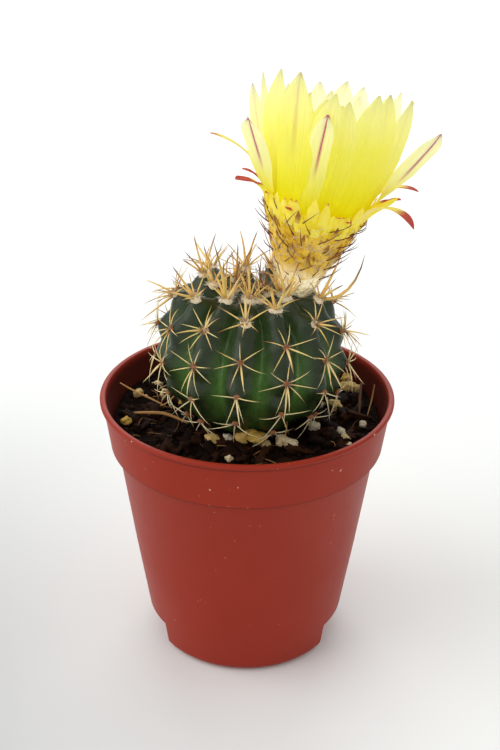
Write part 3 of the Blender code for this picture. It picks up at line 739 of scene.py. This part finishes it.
def make_pot():
    """The pot with its two notches, the steps inside that close them, and its drains."""
    pot = piece("nursery_pot", turned(pot_outline(), POT_STEPS), pot_plastic(),
                ["pot"])
    inner = NOTCH_INNER_RADIUS - POT_WALL
    low, high = POT_WALL / 2, NOTCH_HEIGHT + POT_WALL
    outer = WALL_FOOT_RADIUS - POT_WALL / 2
    step_outline = [(inner, low), (outer - 1.1 * MM, low), (outer, FOOT_ROUND),
                    (outer + 0.14 * (high - FOOT_ROUND), high), (inner, high)]
    notch_outline = [(NOTCH_INNER_RADIUS, -2 * MM), (RIM_RADIUS, -2 * MM),
                     (RIM_RADIUS, NOTCH_HEIGHT), (NOTCH_INNER_RADIUS, NOTCH_HEIGHT)]
    housings = []
    hollows = []
    for azimuth in NOTCH_AZIMUTHS:
        housing = ring_sector(step_outline, NOTCH_HALF_ANGLE + POT_WALL / NOTCH_INNER_RADIUS)
        notch = ring_sector(notch_outline, NOTCH_HALF_ANGLE)
        housings.append(("UNION", cutter("housing", housing, azimuth)))
        hollows.append(("DIFFERENCE", cutter("notch", notch, azimuth)))
    for azimuth in DRAIN_AZIMUTHS:
        drain = bmesh.new()
        bmesh.ops.create_cone(drain, cap_ends=True, segments=24, radius1=DRAIN_RADIUS,
                              radius2=DRAIN_RADIUS, depth=4 * MM)
        bmesh.ops.translate(drain, vec=(DRAIN_PLACE, 0, POT_WALL / 2), verts=drain.verts)
        hollows.append(("DIFFERENCE", cutter("drain", drain, azimuth)))
    cut(pot, housings + hollows)
    pot.data.shade_smooth()
    pot.data.set_sharp_from_angle(angle=SHARP_FROM)


# ---- Stem

STEM_CURVE = [p * MM for p in smooth_curve(STEM_OUTLINE_MM, 6)]


def rib_turn(azimuth, height):
    """Where a rib that starts at this azimuth stands at this height: the ribs slant a little."""
    return azimuth + RIB_SLANT * (height - RIB_SLANT_Z)


def settled(spot):
    """The stem's top sits low, and a little lower on its +X side."""
    share = clamp((spot.z - 54 * MM) / (14 * MM))
    return spot - UP * share * (0.05 * (spot.x - STEM_X) + 0.6 * MM)


def areole(number):
    """The areole's own frame: +X across the rib, +Y up the rib and +Z out of the skin."""
    along = AREOLE_START + number * AREOLE_STEP
    walked = 0
    for here, there in zip(STEM_CURVE, STEM_CURVE[1:]):
        step = (there - here).length
        if walked + step >= along:
            break
        walked += step
    spot = here.lerp(there, (along - walked) / step)
    run = (there - here).normalized()
    azimuth = rib_turn(RIB_PHASE + number * AREOLE_TURN, spot.y)
    outward = towards(azimuth)
    normal = outward * -run.y + UP * run.x
    up_rib = -(outward * run.x + UP * run.y)
    across = up_rib.cross(normal)
    turn = Matrix((across, up_rib, normal)).transposed().to_4x4()
    centre = Vector((STEM_X, STEM_Y, 0))
    return Matrix.Translation(settled(centre + outward * spot.x + UP * spot.y)) @ turn


def make_stem(areoles):
    """The ribbed stem, swollen under each areole."""
    bm = turned([(p.x, p.y) for p in STEM_CURVE], STEM_STEPS)
    bmesh.ops.translate(bm, vec=(STEM_X, STEM_Y, 0), verts=bm.verts)
    furrow = bm.verts.layers.float.new("furrow")
    centres = [frame_of.translation for frame_of in areoles.values()]
    for vertex in bm.verts:
        out = Vector((vertex.co.x - STEM_X, vertex.co.y - STEM_Y, 0))
        radius = out.length
        if radius < 0.05 * MM:
            continue
        phase = math.atan2(out.y, out.x) - rib_turn(RIB_PHASE, vertex.co.z)
        crest = abs(math.cos(phase * RIBS / 2)) ** 0.8
        vertex[furrow] = 1 - crest
        above_soil = clamp((vertex.co.z - 46 * MM) / (4 * MM))
        depth = RIB_DEPTH * above_soil * min(1, radius / (9 * MM))
        settled_spot = settled(vertex.co)
        nearest = min((settled_spot - c).length_squared for c in centres)
        swell = SWELLING * math.exp(-nearest / SWELLING_REACH**2) * above_soil
        change = swell - depth * (1 - crest)
        upward = clamp((vertex.co.z - SHOULDER_Z) / (8 * MM))
        push = out.normalized() * (1 - 0.5 * upward) + UP * upward
        vertex.co = settled_spot + push * change
    bm.normal_update()
    piece("cactus_stem", bm, stem_skin(), ["stem"])


# ---- Needles: spines, hairs, bristles and fibres


def copied(bm, mesh):
    """Adds a copy of a kept shape and gives its points."""
    first = len(bm.verts)
    bm.from_mesh(mesh)
    bm.verts.ensure_lookup_table()
    return bm.verts[first:]


def ball(subdivisions):
    bm = bmesh.new()
    bmesh.ops.create_icosphere(bm, subdivisions=subdivisions, radius=1)
    return kept_mesh("ball", bm)


def slab():
    """A unit block in a grid, for splinters of bark."""
    bm = bmesh.new()
    bmesh.ops.create_cube(bm, size=1)
    bmesh.ops.subdivide_edges(bm, edges=bm.edges, cuts=2, use_grid_fill=True)
    return kept_mesh("slab", bm)


def rod(sides, sections, top=1.0):
    """A unit rod up the Z axis with this radius at its top, in sections so that it can bend."""
    bm = bmesh.new()
    bmesh.ops.create_cone(bm, cap_ends=True, segments=sides, radius1=1, radius2=top, depth=1)
    bmesh.ops.translate(bm, vec=(0, 0, 0.5), verts=bm.verts)
    long_edges = [e for e in bm.edges if abs(e.verts[0].co.z - e.verts[1].co.z) > 0.5]
    bmesh.ops.subdivide_edges(bm, edges=long_edges, cuts=sections - 1)
    return bm


def needle(sides, sections):
    """A unit needle up the Z axis that keeps most of its width until near its point."""
    point = 0.02
    bm = rod(sides, sections, point)
    for vertex in bm.verts:
        height = vertex.co.z
        if 0.01 < height < 0.99:
            vertex.co.xy *= (1 - height) ** 0.6 / (1 - (1 - point) * height)
    return kept_mesh("needle", bm)


def growing(*layers):
    """An empty bmesh whose points keep numbers by these names."""
    bm = bmesh.new()
    for name in layers:
        bm.verts.layers.float.new(name)
    return bm


def add_needle(bm, mesh, base, tip, radius, bow=Vector((0, 0, 0)), **marks):
    """Grows one needle from base to tip, its middle pushed out by bow.

    Its points keep the marks: numbers, or functions of the share of the way to the tip.
    """
    turn = (tip - base).to_track_quat("Z", "Y")
    for vertex in copied(bm, mesh):
        share = vertex.co.z
        side = turn @ Vector((vertex.co.x * radius, vertex.co.y * radius, 0))
        vertex.co = base.lerp(tip, share) + side + bow * (4 * share * (1 - share))
        for name, value in marks.items():
            vertex[bm.verts.layers.float[name]] = value(share) if callable(value) else value


def random_push(rng, spread):
    """A push that may go as far as spread along each axis."""
    return Vector((rng.uniform(-1, 1), rng.uniform(-1, 1), rng.uniform(-1, 1))) * spread


# ---- Areoles and spines


def youth(number):
    """1 at the crown, falling to 0 where the spines are full grown."""
    return clamp((20.5 - number) / 11)


def old_age(number):
    """0 on the stem's upper half, rising to 1 near the soil."""
    return clamp((number - 24) / 34)


def spine_fan(number, rng):
    """(lean, turn, length in millimetres, radius, is it a central one) of each spine.

    lean is from the skin's normal, and turn goes round the areole from straight up the rib.
    """
    young = youth(number)
    fan = []
    if number < -2:
        for i in range(5):
            lean = math.radians(rng.uniform(8, 38))
            turn = rng.uniform(0, math.tau)
            fan.append((lean, turn, rng.uniform(3.5, 6.0), 0.14, True))
        return fan
    if number < 8:
        count = 5
    elif number < 12 or number > LOWEST_FULL_FAN:
        count = 6
    else:
        count = rng.choice((7, 7, 8))
    for i in range(count):
        turn = math.tau * (i + 0.5 * (number % 2)) / count + rng.uniform(-0.24, 0.24)
        lean = math.radians(80 - 30 * young + rng.uniform(-6, 5))
        down = 0.5 - 0.5 * math.cos(turn)
        if number > LOWEST_FULL_FAN and down < 0.2:
            continue
        length = 4.0 + 1.5 * down * (1 - young) + 1.5 * young + rng.uniform(-0.8, 0.8)
        fan.append((lean, turn, length, 0.125 + 0.06 * young, False))
    centrals = 2 if number < 8 else 1 if number < 40 else 0
    for i in range(centrals):
        lean = math.radians(rng.uniform(6, 26) + 34 * (1 - young))
        turn = math.pi + rng.uniform(-0.9, 0.9) + i * 2.1
        length = 5.2 + 2.0 * young + rng.uniform(-0.6, 0.8)
        fan.append((lean, turn, length, 0.18 + 0.1 * young, True))
    return fan


def spine_marks(number, rng, central):
    """How gold and how dark a spine is along its length."""
    young = youth(number)
    tone = rng.uniform(-0.15, 0.15)
    gold = min(1, max(0.15, 0.7 - 0.6 * old_age(number) + 0.15 * young + tone))
    dark_tip = rng.random() < 0.12 + 0.8 * young
    wholly_dark = central and number < 0 and rng.random() < 0.6
    root = 0.85 if 12 < number < 36 else 0.25

    def dark(share):
        from_root = root * max(0, 1 - share / 0.2)
        from_tip = max(0, (share - 0.52) / 0.34) ** 0.8 * (0.95 if dark_tip else 0.1)
        return clamp(max(from_root, from_tip, 0.75 if wholly_dark else 0))

    return {"gold": gold, "dark": dark}


def make_spines(areoles):
    """Every spine: the fan of each areole, shortened above the soil, and the long ones."""
    rng = random.Random(SEED)
    bm = growing("gold", "dark")
    fine, stout = needle(5, 4), needle(6, 6)
    for number, frame_of in areoles.items():
        if number == FLOWER_AREOLE:
            continue
        normal = frame_of.col[2].xyz
        root = frame_of.translation + normal * (SWELLING + 0.1 * MM)
        for lean, turn, length, radius, central in spine_fan(number, rng):
            level = Vector((math.sin(turn), math.cos(turn), 0))
            direction = frame_of.to_3x3() @ (level * math.sin(lean) + UP * math.cos(lean))
            start = root + direction * 0.3 * MM
            tip = start + direction * length * MM
            bow = (normal * rng.uniform(0.02, 0.09) + random_push(rng, 0.03)) * length * MM
            room = (start.z - SOIL_Z) / max(0.01 * MM, start.z - tip.z)
            if start.z < SOIL_Z + 1.2 * MM or room < 0.75:
                continue
            tip = start.lerp(tip, min(1, room))
            add_needle(bm, stout if central else fine, start, tip, radius * MM, bow,
                       **spine_marks(number, rng, central))
    for number, tip_mm, radius in LONG_SPINES:
        frame_of = areoles[number]
        start = frame_of.translation + frame_of.col[2].xyz * SWELLING
        tip = Vector(tip_mm) * MM
        reach = (tip - start).length
        bow = random_push(rng, 0.03 * reach)
        if tip_mm[0] > BOWED_BEYOND_MM:
            bow = Vector((0.1, 0, -0.2)) * reach
        add_needle(bm, stout, start, tip, radius * MM, bow, **spine_marks(number, rng, True))
    cad_spines = [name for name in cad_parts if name.startswith("areole_")]
    piece("spines", bm, spine_horn(), cad_spines)


def make_areole_felt(areoles):
    """The woolly pad under each spine cluster, with loose hairs on the young ones."""
    rng = random.Random(SEED + 1)
    pads, hairs = growing("dark"), growing("gold", "dark")
    dark = pads.verts.layers.float["dark"]
    hair, pad = needle(3, 2), ball(2)
    for number, frame_of in areoles.items():
        if number == FLOWER_AREOLE:
            continue
        young = youth(number)
        size = (0.65 + 0.55 * young) * MM
        if number < 0:
            size *= 0.75
        seat = frame_of @ Matrix.Translation((0, 0, SWELLING - 0.05 * MM))
        for vertex in copied(pads, pad):
            lump = 1 + 0.4 * noise.noise(vertex.co * 2.4 + Vector((number, 0, 0)))
            vertex.co = seat @ (vertex.co * Vector((1, 0.8, 0.6)) * size * lump)
            vertex[dark] = clamp(1 - 1.6 * young)
        for _ in range(int(8 + 60 * young)):
            turn = rng.uniform(0, math.tau)
            out = towards(turn, rng.uniform(0, 1.4)).normalized()
            base = seat @ (out * size * 0.5)
            tip = seat @ (out * size * rng.uniform(1.1, 1.7) + random_push(rng, 0.4 * size))
            add_needle(hairs, hair, base, tip, 0.06 * MM, random_push(rng, 0.2 * size),
                       gold=rng.uniform(0, 0.5), dark=0.6 * (1 - young))
    piece("areole_pads", pads, areole_felt())
    piece("areole_hairs", hairs, fine_hair())


# ---- Flower

FLOWER_FRAME = Matrix.Translation(FLOWER_FOOT) @ Matrix.Rotation(FLOWER_TILT, 4, "Y")
TUBE_CURVE = [p * MM for p in smooth_curve(TUBE_OUTLINE_MM, 4)]
BLADE_LAYERS = ("along", "across", "red", "pale")


def tube_radius(height):
    """The tube's radius at this height in the flower's own frame."""
    for low, high in zip(TUBE_CURVE, TUBE_CURVE[1:]):
        if high.y >= height:
            break
    return low.x + (high.x - low.x) * (height - low.y) / (high.y - low.y)


def on_tube(azimuth, height, proud=0.0):
    """A point on the tube's skin at this azimuth and height in the flower's own frame."""
    return FLOWER_FRAME @ (towards(azimuth) * (tube_radius(height) + proud) + UP * height)


def make_tube():
    """The flower's cup-shaped tube, lumpy under its wool."""
    inside_mm = [(0, 6.8), (2.2, 7.2), (5.2, 10.2), (7.2, 14), (8.8, 18.4)]
    outside = [(p.x, p.y) for p in reversed(TUBE_CURVE)]
    bm = turned([*in_metres(inside_mm), *outside, (0, TUBE_FOOT)], TUBE_STEPS)
    along = bm.verts.layers.float.new("along")
    for vertex in bm.verts:
        vertex[along] = vertex.co.z / TUBE_TOP
        out = Vector((vertex.co.x, vertex.co.y, 0))
        if out.length > 2.2 * MM:
            lump = noise.noise(vertex.co / (2.2 * MM)) + 0.6 * noise.noise(vertex.co / (0.9 * MM))
            vertex.co += out.normalized() * lump * 0.28 * MM
    bm.transform(FLOWER_FRAME)
    piece("flower_tube_body", bm, tube_skin(), ["flower_tube"])


def add_blade(bm, azimuth, foot, lean, curl, length, half_width, twist, marks, cup, blunt, rng):
    """A petal or scale: a pointed strip that bends along its length and is cupped across.

    foot is (radius, height) in the flower's frame, lean the angle of its chord from the
    flower's axis and curl the change of lean from foot to tip, both in degrees, as is twist.
    marks are how red and how pale it is, and blunt the share of its length where it narrows.
    """
    layers = [bm.verts.layers.float[name] for name in BLADE_LAYERS]
    made = bmesh.ops.create_grid(bm, x_segments=6, y_segments=20, size=1)["verts"]
    start = math.radians(lean - curl / 2)
    bend = math.radians(curl) or 1e-4
    wave = rng.uniform(0, math.tau)
    sway = rng.uniform(-0.05, 0.05)
    for vertex in made:
        across = vertex.co.x
        share = (vertex.co.y + 1) / 2
        widening = 0.66 + 0.34 * min(1, share / 0.45)
        taper = 1 - 0.95 * max(0, (share - blunt) / (1 - blunt)) ** 1.9
        width = half_width * widening * taper
        angle = start + bend * share
        radius = foot[0] + length * (math.cos(start) - math.cos(angle)) / bend
        height = foot[1] + length * (math.sin(angle) - math.sin(start)) / bend
        hollow = cup * width * (1 - across**2 - 0.5 * (1 - min(1, abs(across) * 3)))
        ripple = 0.08 * half_width * math.sin(wave + 9 * share) * across**2
        dent = hollow + ripple
        sideways = across * width + sway * length * share**2
        face = towards(azimuth + math.radians(twist) * min(1, share / 0.5))
        spot = towards(azimuth) * radius + UP * height + UP.cross(face) * sideways
        spot += (face * math.cos(angle) - UP * math.sin(angle)) * dent
        vertex.co = FLOWER_FRAME @ spot
        for layer, number in zip(layers, (share, across, *marks)):
            vertex[layer] = number


def finish_blades(name, bm, finish, thickness, nodes=()):
    """Makes the blades a piece and gives them their thickness, with crisp rims."""
    bmesh.ops.recalc_face_normals(bm, faces=bm.faces)
    made = piece(name, bm, finish, nodes)
    mesh = made.data
    uses = Counter(key for polygon in mesh.polygons for key in polygon.edge_keys)
    for edge in mesh.edges:
        edge.use_edge_sharp = uses[edge.key] == 1
    solidify = made.modifiers.new("thickness", "SOLIDIFY")
    solidify.thickness = thickness
    solidify.offset = 0


def make_blades(name, rows, foot_height, cup, thickness, finish, nodes):
    """A whorl of petals or outer scales, one for each row."""
    rng = random.Random(SEED + 2)
    bm = growing(*BLADE_LAYERS)
    for azimuth, radius, lean, curl, length, half_width, twist, *marks in rows:
        foot = (radius * MM, foot_height - (9 * MM - radius * MM) * 0.4)
        add_blade(bm, math.radians(azimuth), foot, lean, curl, length * MM,
                  half_width * MM, twist, marks, cup, 0.62 + 0.18 * marks[0], rng)
    finish_blades(name, bm, finish, thickness, nodes)


def make_short_scales(finish):
    """Short yellow scales where the tube turns into petals, and redder ones folded over."""
    rng = random.Random(SEED + 7)
    bm = growing(*BLADE_LAYERS)
    for i in range(SHORT_SCALES):
        azimuth = i * GOLDEN_TURN
        height = TUBE_TOP - rng.uniform(0.6, 4.2) * MM
        foot = (tube_radius(height) - 0.1 * MM, height)
        add_blade(bm, azimuth, foot, rng.uniform(14, 20), -8, rng.uniform(3.0, 5.5) * MM,
                  rng.uniform(0.7, 1.2) * MM, rng.uniform(-15, 15),
                  (rng.choice((0, 0, 0, 0.3)), 0.1), 0.15, 0.3, rng)
    for azimuth, height, size, red in FOLDED_SCALES:
        foot = (tube_radius(height * MM) + 0.2 * MM, height * MM)
        add_blade(bm, math.radians(azimuth), foot, 46, 95, size * MM, size * 0.26 * MM, 0,
                  (red, 0), 0.4, 0.3, rng)
    finish_blades("short_scales", bm, finish, 0.1 * MM)


def make_husks():
    """Pointed dry scales pressed to the tube."""
    rng = random.Random(SEED + 6)
    bm = growing(*BLADE_LAYERS)
    for i in range(HUSKS):
        azimuth = i * GOLDEN_TURN + rng.uniform(-0.2, 0.2)
        height = (6.5 + 10.5 * ((i + 0.5) / HUSKS) ** 0.8) * MM
        foot = (tube_radius(height) + 0.1 * MM, height)
        size = rng.uniform(1.8, 3.2) * MM
        add_blade(bm, azimuth, foot, 24 + rng.uniform(-3, 5), rng.uniform(-10, 5), size,
                  size * 0.2, rng.uniform(-30, 30), (rng.uniform(0.6, 1), 0), 0.3, 0.1, rng)
    finish_blades("tube_scales", bm, husk_skin(), 0.1 * MM)


def make_tube_trim():
    """Brown bristles and white wool from the tube's scales."""
    rng = random.Random(SEED + 3)
    bristles, wool = growing("gold", "dark"), growing("gold", "dark")
    bristle, hair = needle(4, 4), needle(3, 3)
    for i in range(BRISTLES):
        azimuth = i * GOLDEN_TURN
        height = (3.2 + 14.2 * ((i + 0.5) / BRISTLES) ** 0.8) * MM
        base = on_tube(azimuth, height, -0.1 * MM)
        reach = rng.uniform(3.2, 6.2) * MM
        sweep = rng.uniform(-0.45, 0.45)
        rise = min(height + reach * rng.uniform(0.5, 0.9), 21 * MM)
        tip = on_tube(azimuth + sweep, min(rise, BRISTLE_RIM), rng.uniform(0.5, 2.4) * MM)
        tip += FLOWER_FRAME.to_3x3() @ UP * max(0, rise - BRISTLE_RIM)
        out = (base - FLOWER_FRAME @ Vector((0, 0, height))).normalized()
        add_needle(bristles, bristle, base, tip, 0.12 * MM, out * rng.uniform(0.2, 0.8) * MM,
                   gold=1, dark=rng.uniform(0.85, 1))
    for _ in range(WOOL_HAIRS):
        azimuth = rng.uniform(0, math.tau)
        height = 15.5 * MM * rng.random() ** 2.2 + 0.1 * MM
        base = on_tube(azimuth, height)
        sweep = rng.uniform(-0.45, 0.45)
        rise = min(height + rng.uniform(0.6, 2.6) * MM, 17 * MM)
        tip = on_tube(azimuth + sweep, rise, rng.uniform(0.1, 0.7) * MM)
        add_needle(wool, hair, base, tip, 0.055 * MM, random_push(rng, 0.4 * MM),
                   gold=rng.uniform(0, 0.5), dark=0)
    piece("tube_bristles", bristles, spine_horn())
    piece("tube_wool", wool, fine_hair())


def make_stamens():
    """A ring of filaments, each with its anther."""
    rng = random.Random(SEED + 4)
    bm = growing("along")
    filament, anther = needle(4, 3), ball(1)
    for i in range(STAMENS):
        radius = (1.6 + 3.2 * ((i + 0.5) / STAMENS)) * MM
        out = towards(i * GOLDEN_TURN)
        top = 17 * MM + 5 * MM * (i / STAMENS) + rng.uniform(-0.6, 0.6) * MM
        base = FLOWER_FRAME @ (out * radius * 0.75 + UP * 9 * MM)
        tip = FLOWER_FRAME @ (out * radius + UP * top)
        add_needle(bm, filament, base, tip, 0.13 * MM, random_push(rng, 0.3 * MM), along=0)
        for vertex in copied(bm, anther):
            vertex.co = tip + vertex.co * Vector((1, 1, 1.5)) * 0.42 * MM
            vertex[bm.verts.layers.float["along"]] = 1
    piece("stamen_ring", bm, stamen_pollen(), ["stamens"])


def make_stigma():
    """The style, topped by a ring of lobes."""
    style_mm = [(0, 25.6), (0.9, 25.4), (1.0, 24.9), (0.55, 24.2), (0.5, 7.2), (0, 7.2)]
    bm = turned(in_metres(style_mm), 16)
    bm.transform(FLOWER_FRAME)
    velvet = stigma_velvet()
    piece("style", bm, velvet, ["stigma"])
    lobes = bmesh.new()
    lobe = needle(6, 4)
    for i in range(STIGMA_LOBES):
        out = towards(math.tau * i / STIGMA_LOBES)
        base = FLOWER_FRAME @ (out * 0.3 * MM + UP * 25.0 * MM)
        tip = FLOWER_FRAME @ (out * 1.7 * MM + UP * 27.2 * MM)
        add_needle(lobes, lobe, base, tip, 0.42 * MM, FLOWER_FRAME.to_3x3() @ out * 0.35 * MM)
    piece("stigma_lobes", lobes, velvet)


# ---- Soil


def soil_height(x, y):
    """The lumpy surface of the potting mix."""
    spot = Vector((x, y, 0))
    lumps = noise.noise(spot / (5 * MM)) * 0.9 + noise.noise(spot / (1.6 * MM)) * 0.6
    return SOIL_Z + lumps * 0.55 * MM


def make_soil():
    """The potting mix, a little clear of the pot's wall."""
    rings = 60
    clear = POT_WALL + 0.4 * MM
    outline = [(SOIL_EDGE * i / rings, SOIL_Z) for i in range(rings + 1)]
    outline += [
        (SOIL_EDGE - 0.3 * MM, COLLAR_FOOT_Z + 1 * MM),
        (WALL_TOP_RADIUS - clear, COLLAR_FOOT_Z - 0.6 * MM),
        (WALL_FOOT_RADIUS - clear, SOIL_FOOT_Z),
        (0, SOIL_FOOT_Z),
    ]
    bm = turned(outline, 180)
    for vertex in bm.verts:
        if vertex.co.z > SOIL_Z - 0.01 * MM:
            vertex.co.z = soil_height(vertex.co.x, vertex.co.y)
    piece("potting_mix_body", bm, soil_mix(), ["soil"])


def free_spot(rng, clear):
    """A random place on the soil, outside the stem and inside the pot."""
    while True:
        x, y = rng.uniform(-SOIL_EDGE, SOIL_EDGE), rng.uniform(-SOIL_EDGE, SOIL_EDGE)
        if math.hypot(x, y) < SOIL_EDGE - clear and math.hypot(x - STEM_X, y - STEM_Y) > 9 * MM:
            return Vector((x, y, soil_height(x, y)))


def add_fragment(bm, mesh, spot, size, tint, rng, breaks):
    """An irregular crumb or splinter: a kept shape stretched to its size, roughened and turned.

    breaks is LUMPY or SPLINTERED.
    """
    axis, tip, depth, scale = breaks
    turn = Matrix.Rotation(rng.uniform(0, math.tau), 3, "Z")
    turn = turn @ Matrix.Rotation(rng.uniform(-tip, tip), 3, axis)
    seed = random_push(rng, 20)
    for vertex in copied(bm, mesh):
        rough = 1 + depth * noise.noise(vertex.co * scale + seed)
        vertex.co = spot + turn @ (vertex.co * Vector(size) * rough)
        vertex[bm.verts.layers.float["tint"]] = tint


def add_strand(bm, mesh, curve, radius, tint):
    """A fibre along a smooth curve, thinner at its ends."""
    for vertex in copied(bm, mesh):
        place = min(vertex.co.z, 0.9999) * (len(curve) - 1)
        low, high = curve[int(place)], curve[int(place) + 1]
        turn = (high - low).to_track_quat("Z", "Y")
        size = radius * (0.55 + 0.45 * math.sin(math.pi * vertex.co.z))
        side = turn @ Vector((vertex.co.x * size, vertex.co.y * size * 0.7, 0))
        vertex.co = low.lerp(high, place - int(place)) + side
        vertex[bm.verts.layers.float["tint"]] = tint


def make_soil_trim():
    """What lies loose on the mix: crumbs, bark, pumice and root fibres."""
    rng = random.Random(SEED + 5)
    crumb, grain, splinter, strand = ball(1), ball(3), slab(), needle(4, 6)
    fibre = kept_mesh("fibre", rod(7, 18))
    crumbs, bark, pumice, fibres = (growing("tint") for _ in range(4))
    for _ in range(CRUMBS):
        size = Vector((1.2, 0.9, 0.7)) * rng.uniform(0.3, 0.95) * MM
        spot = free_spot(rng, 0.8 * MM)
        add_fragment(crumbs, crumb, spot, size, rng.random() ** 2.6, rng, LUMPY)
    for _ in range(CHIPS):
        spot = free_spot(rng, 3 * MM) + UP * rng.uniform(0.1, 0.8) * MM
        size = Vector((rng.uniform(1.8, 5.6), rng.uniform(0.8, 2.2), rng.uniform(0.5, 1.2))) * MM
        add_fragment(bark, splinter, spot, size, rng.random() ** 2.6, rng, SPLINTERED)
    for _ in range(SMALL_GRAINS):
        size = Vector((1.1, 0.9, 0.8)) * rng.uniform(0.25, 0.6) * MM
        spot = free_spot(rng, 1 * MM) + UP * 0.2 * MM
        add_fragment(pumice, crumb, spot, size, rng.random(), rng, LUMPY)
    for azimuth, distance, width, tint in GRAINS:
        spot = towards(math.radians(azimuth)) * distance * MM
        spot.z = soil_height(spot.x, spot.y) + 0.45 * width * MM
        size = Vector((1.15, 0.95, 0.8)) * 0.55 * width * MM
        add_fragment(pumice, grain, spot, size, tint, rng, LUMPY)
    for points_mm, radius, tint in FIBRES:
        curve = [p * MM for p in smooth_curve(points_mm, 6)]
        add_strand(fibres, fibre, curve, radius * MM, tint)
    for _ in range(SMALL_FIBRES):
        base = free_spot(rng, 3 * MM) + UP * 0.2 * MM
        turn = rng.uniform(0, math.tau)
        reach = rng.uniform(2.0, 7.0) * MM
        tip = base + towards(turn) * reach
        if math.hypot(tip.x, tip.y) > SOIL_EDGE - 0.6 * MM:
            continue
        tip.z = soil_height(tip.x, tip.y) + rng.uniform(0.2, 0.9) * MM
        bow = Vector((-math.sin(turn), math.cos(turn), 0.4)) * reach * rng.uniform(-0.2, 0.2)
        bow.z = abs(bow.z) + 0.3 * MM
        add_needle(fibres, strand, base, tip, rng.uniform(0.07, 0.16) * MM, bow,
                   tint=rng.random())
    piece("soil_crumbs", crumbs, crumb_peat())
    piece("bark_pieces", bark, crumb_peat(), ["bark_chip_0", "bark_chip_1"])
    piece("pumice_grains", pumice, pumice_stone(), ["grit_0", "grit_1", "grit_2"])
    piece("root_fibres", fibres, dry_fibre(), ["root_fibre"])


# ---- Studio


def make_studio():
    """A pale paper floor with painted shade beside the pot on its -X, -Y side, under broad windows
    and a white sky.
    """
    paper = Finish("pale_floor", Roughness=0.9, Specular_IOR_Level=0.1)
    # Painted shade: the floor's colour is darkened towards -X and -Y near the pot, fading out
    # further away.
    painted_floor_shade = paper.step(paper.along_axis("X"), 10 * MM, -80 * MM)
    painted_floor_shade = painted_floor_shade * paper.step(paper.along_axis("Y"), 150 * MM, -70 * MM)
    painted_floor_shade = painted_floor_shade * paper.step(paper.distance(), 300 * MM, 80 * MM)
    paper.colour(paper.mix(painted_floor_shade, (0.92, 0.94, 0.92), (0.46, 0.475, 0.465)))
    bm = bmesh.new()
    bmesh.ops.create_grid(bm, x_segments=1, y_segments=1, size=FLOOR_HALF)
    mesh = kept_mesh("floor", bm)
    mesh.materials.append(paper.material)
    floor = added("floor", mesh)

    scene = bpy.context.scene
    scene.view_settings.view_transform = "Standard"
    scene.world = bpy.data.worlds.new("studio")
    scene.world.use_nodes = True
    sky = scene.world.node_tree.nodes["Background"]
    sky.inputs["Color"].default_value = (1, 1, 1, 1)
    sky.inputs["Strength"].default_value = SKY_STRENGTH
    for name, place, target, power in LIGHTS:
        data = bpy.data.lights.new(name, "AREA")
        data.shape = "DISK"
        data.size = LIGHT_WIDTH
        data.energy = power
        lamp = added(name, data)
        lamp.location = place
        aim = Vector(target) - Vector(place)
        lamp.rotation_euler = aim.to_track_quat("-Z", "Y").to_euler()


def make_camera():
    """Looks down at the pot from the front, framed for an upright picture of 2 by 3."""
    back = Vector((0, -math.cos(CAMERA_PITCH), math.sin(CAMERA_PITCH)))
    right = Vector((1, 0, 0))
    up = back.cross(right)
    target = right * CAMERA_SHIFT[0] + up * CAMERA_SHIFT[1] + UP * CAMERA_AIM_Z
    data = bpy.data.cameras.new("camera")
    data.sensor_fit = "VERTICAL"
    data.sensor_height = CAMERA_SENSOR_MM
    data.lens = CAMERA_LENS_MM
    data.clip_start = 10 * MM
    camera = added("camera", data)
    rolled_right = right * math.cos(CAMERA_ROLL) + up * math.sin(CAMERA_ROLL)
    rolled_up = up * math.cos(CAMERA_ROLL) - right * math.sin(CAMERA_ROLL)
    turn = Matrix((rolled_right, rolled_up, back)).transposed().to_4x4()
    camera.matrix_world = Matrix.Translation(target + back * CAMERA_DISTANCE) @ turn
    bpy.context.scene.camera = camera


areoles = {number: areole(number) for number in AREOLES}
petal_nodes = [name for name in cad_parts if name.startswith("petal_")]
sepal_nodes = [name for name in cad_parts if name.startswith("sepal_")]
make_camera()
make_studio()
make_pot()
make_soil()
make_soil_trim()
make_stem(areoles)
make_areole_felt(areoles)
make_spines(areoles)
make_tube()
make_husks()
make_tube_trim()
make_blades("petals", PETALS, TUBE_TOP, 0.12, 0.1 * MM, petal_silk(), petal_nodes)
scales = scale_skin()
make_blades("outer_scales", OUTER_SCALES, TUBE_TOP - 0.8 * MM, 0.25, 0.16 * MM, scales,
            sepal_nodes)
make_short_scales(scales)
make_stamens()
make_stigma()
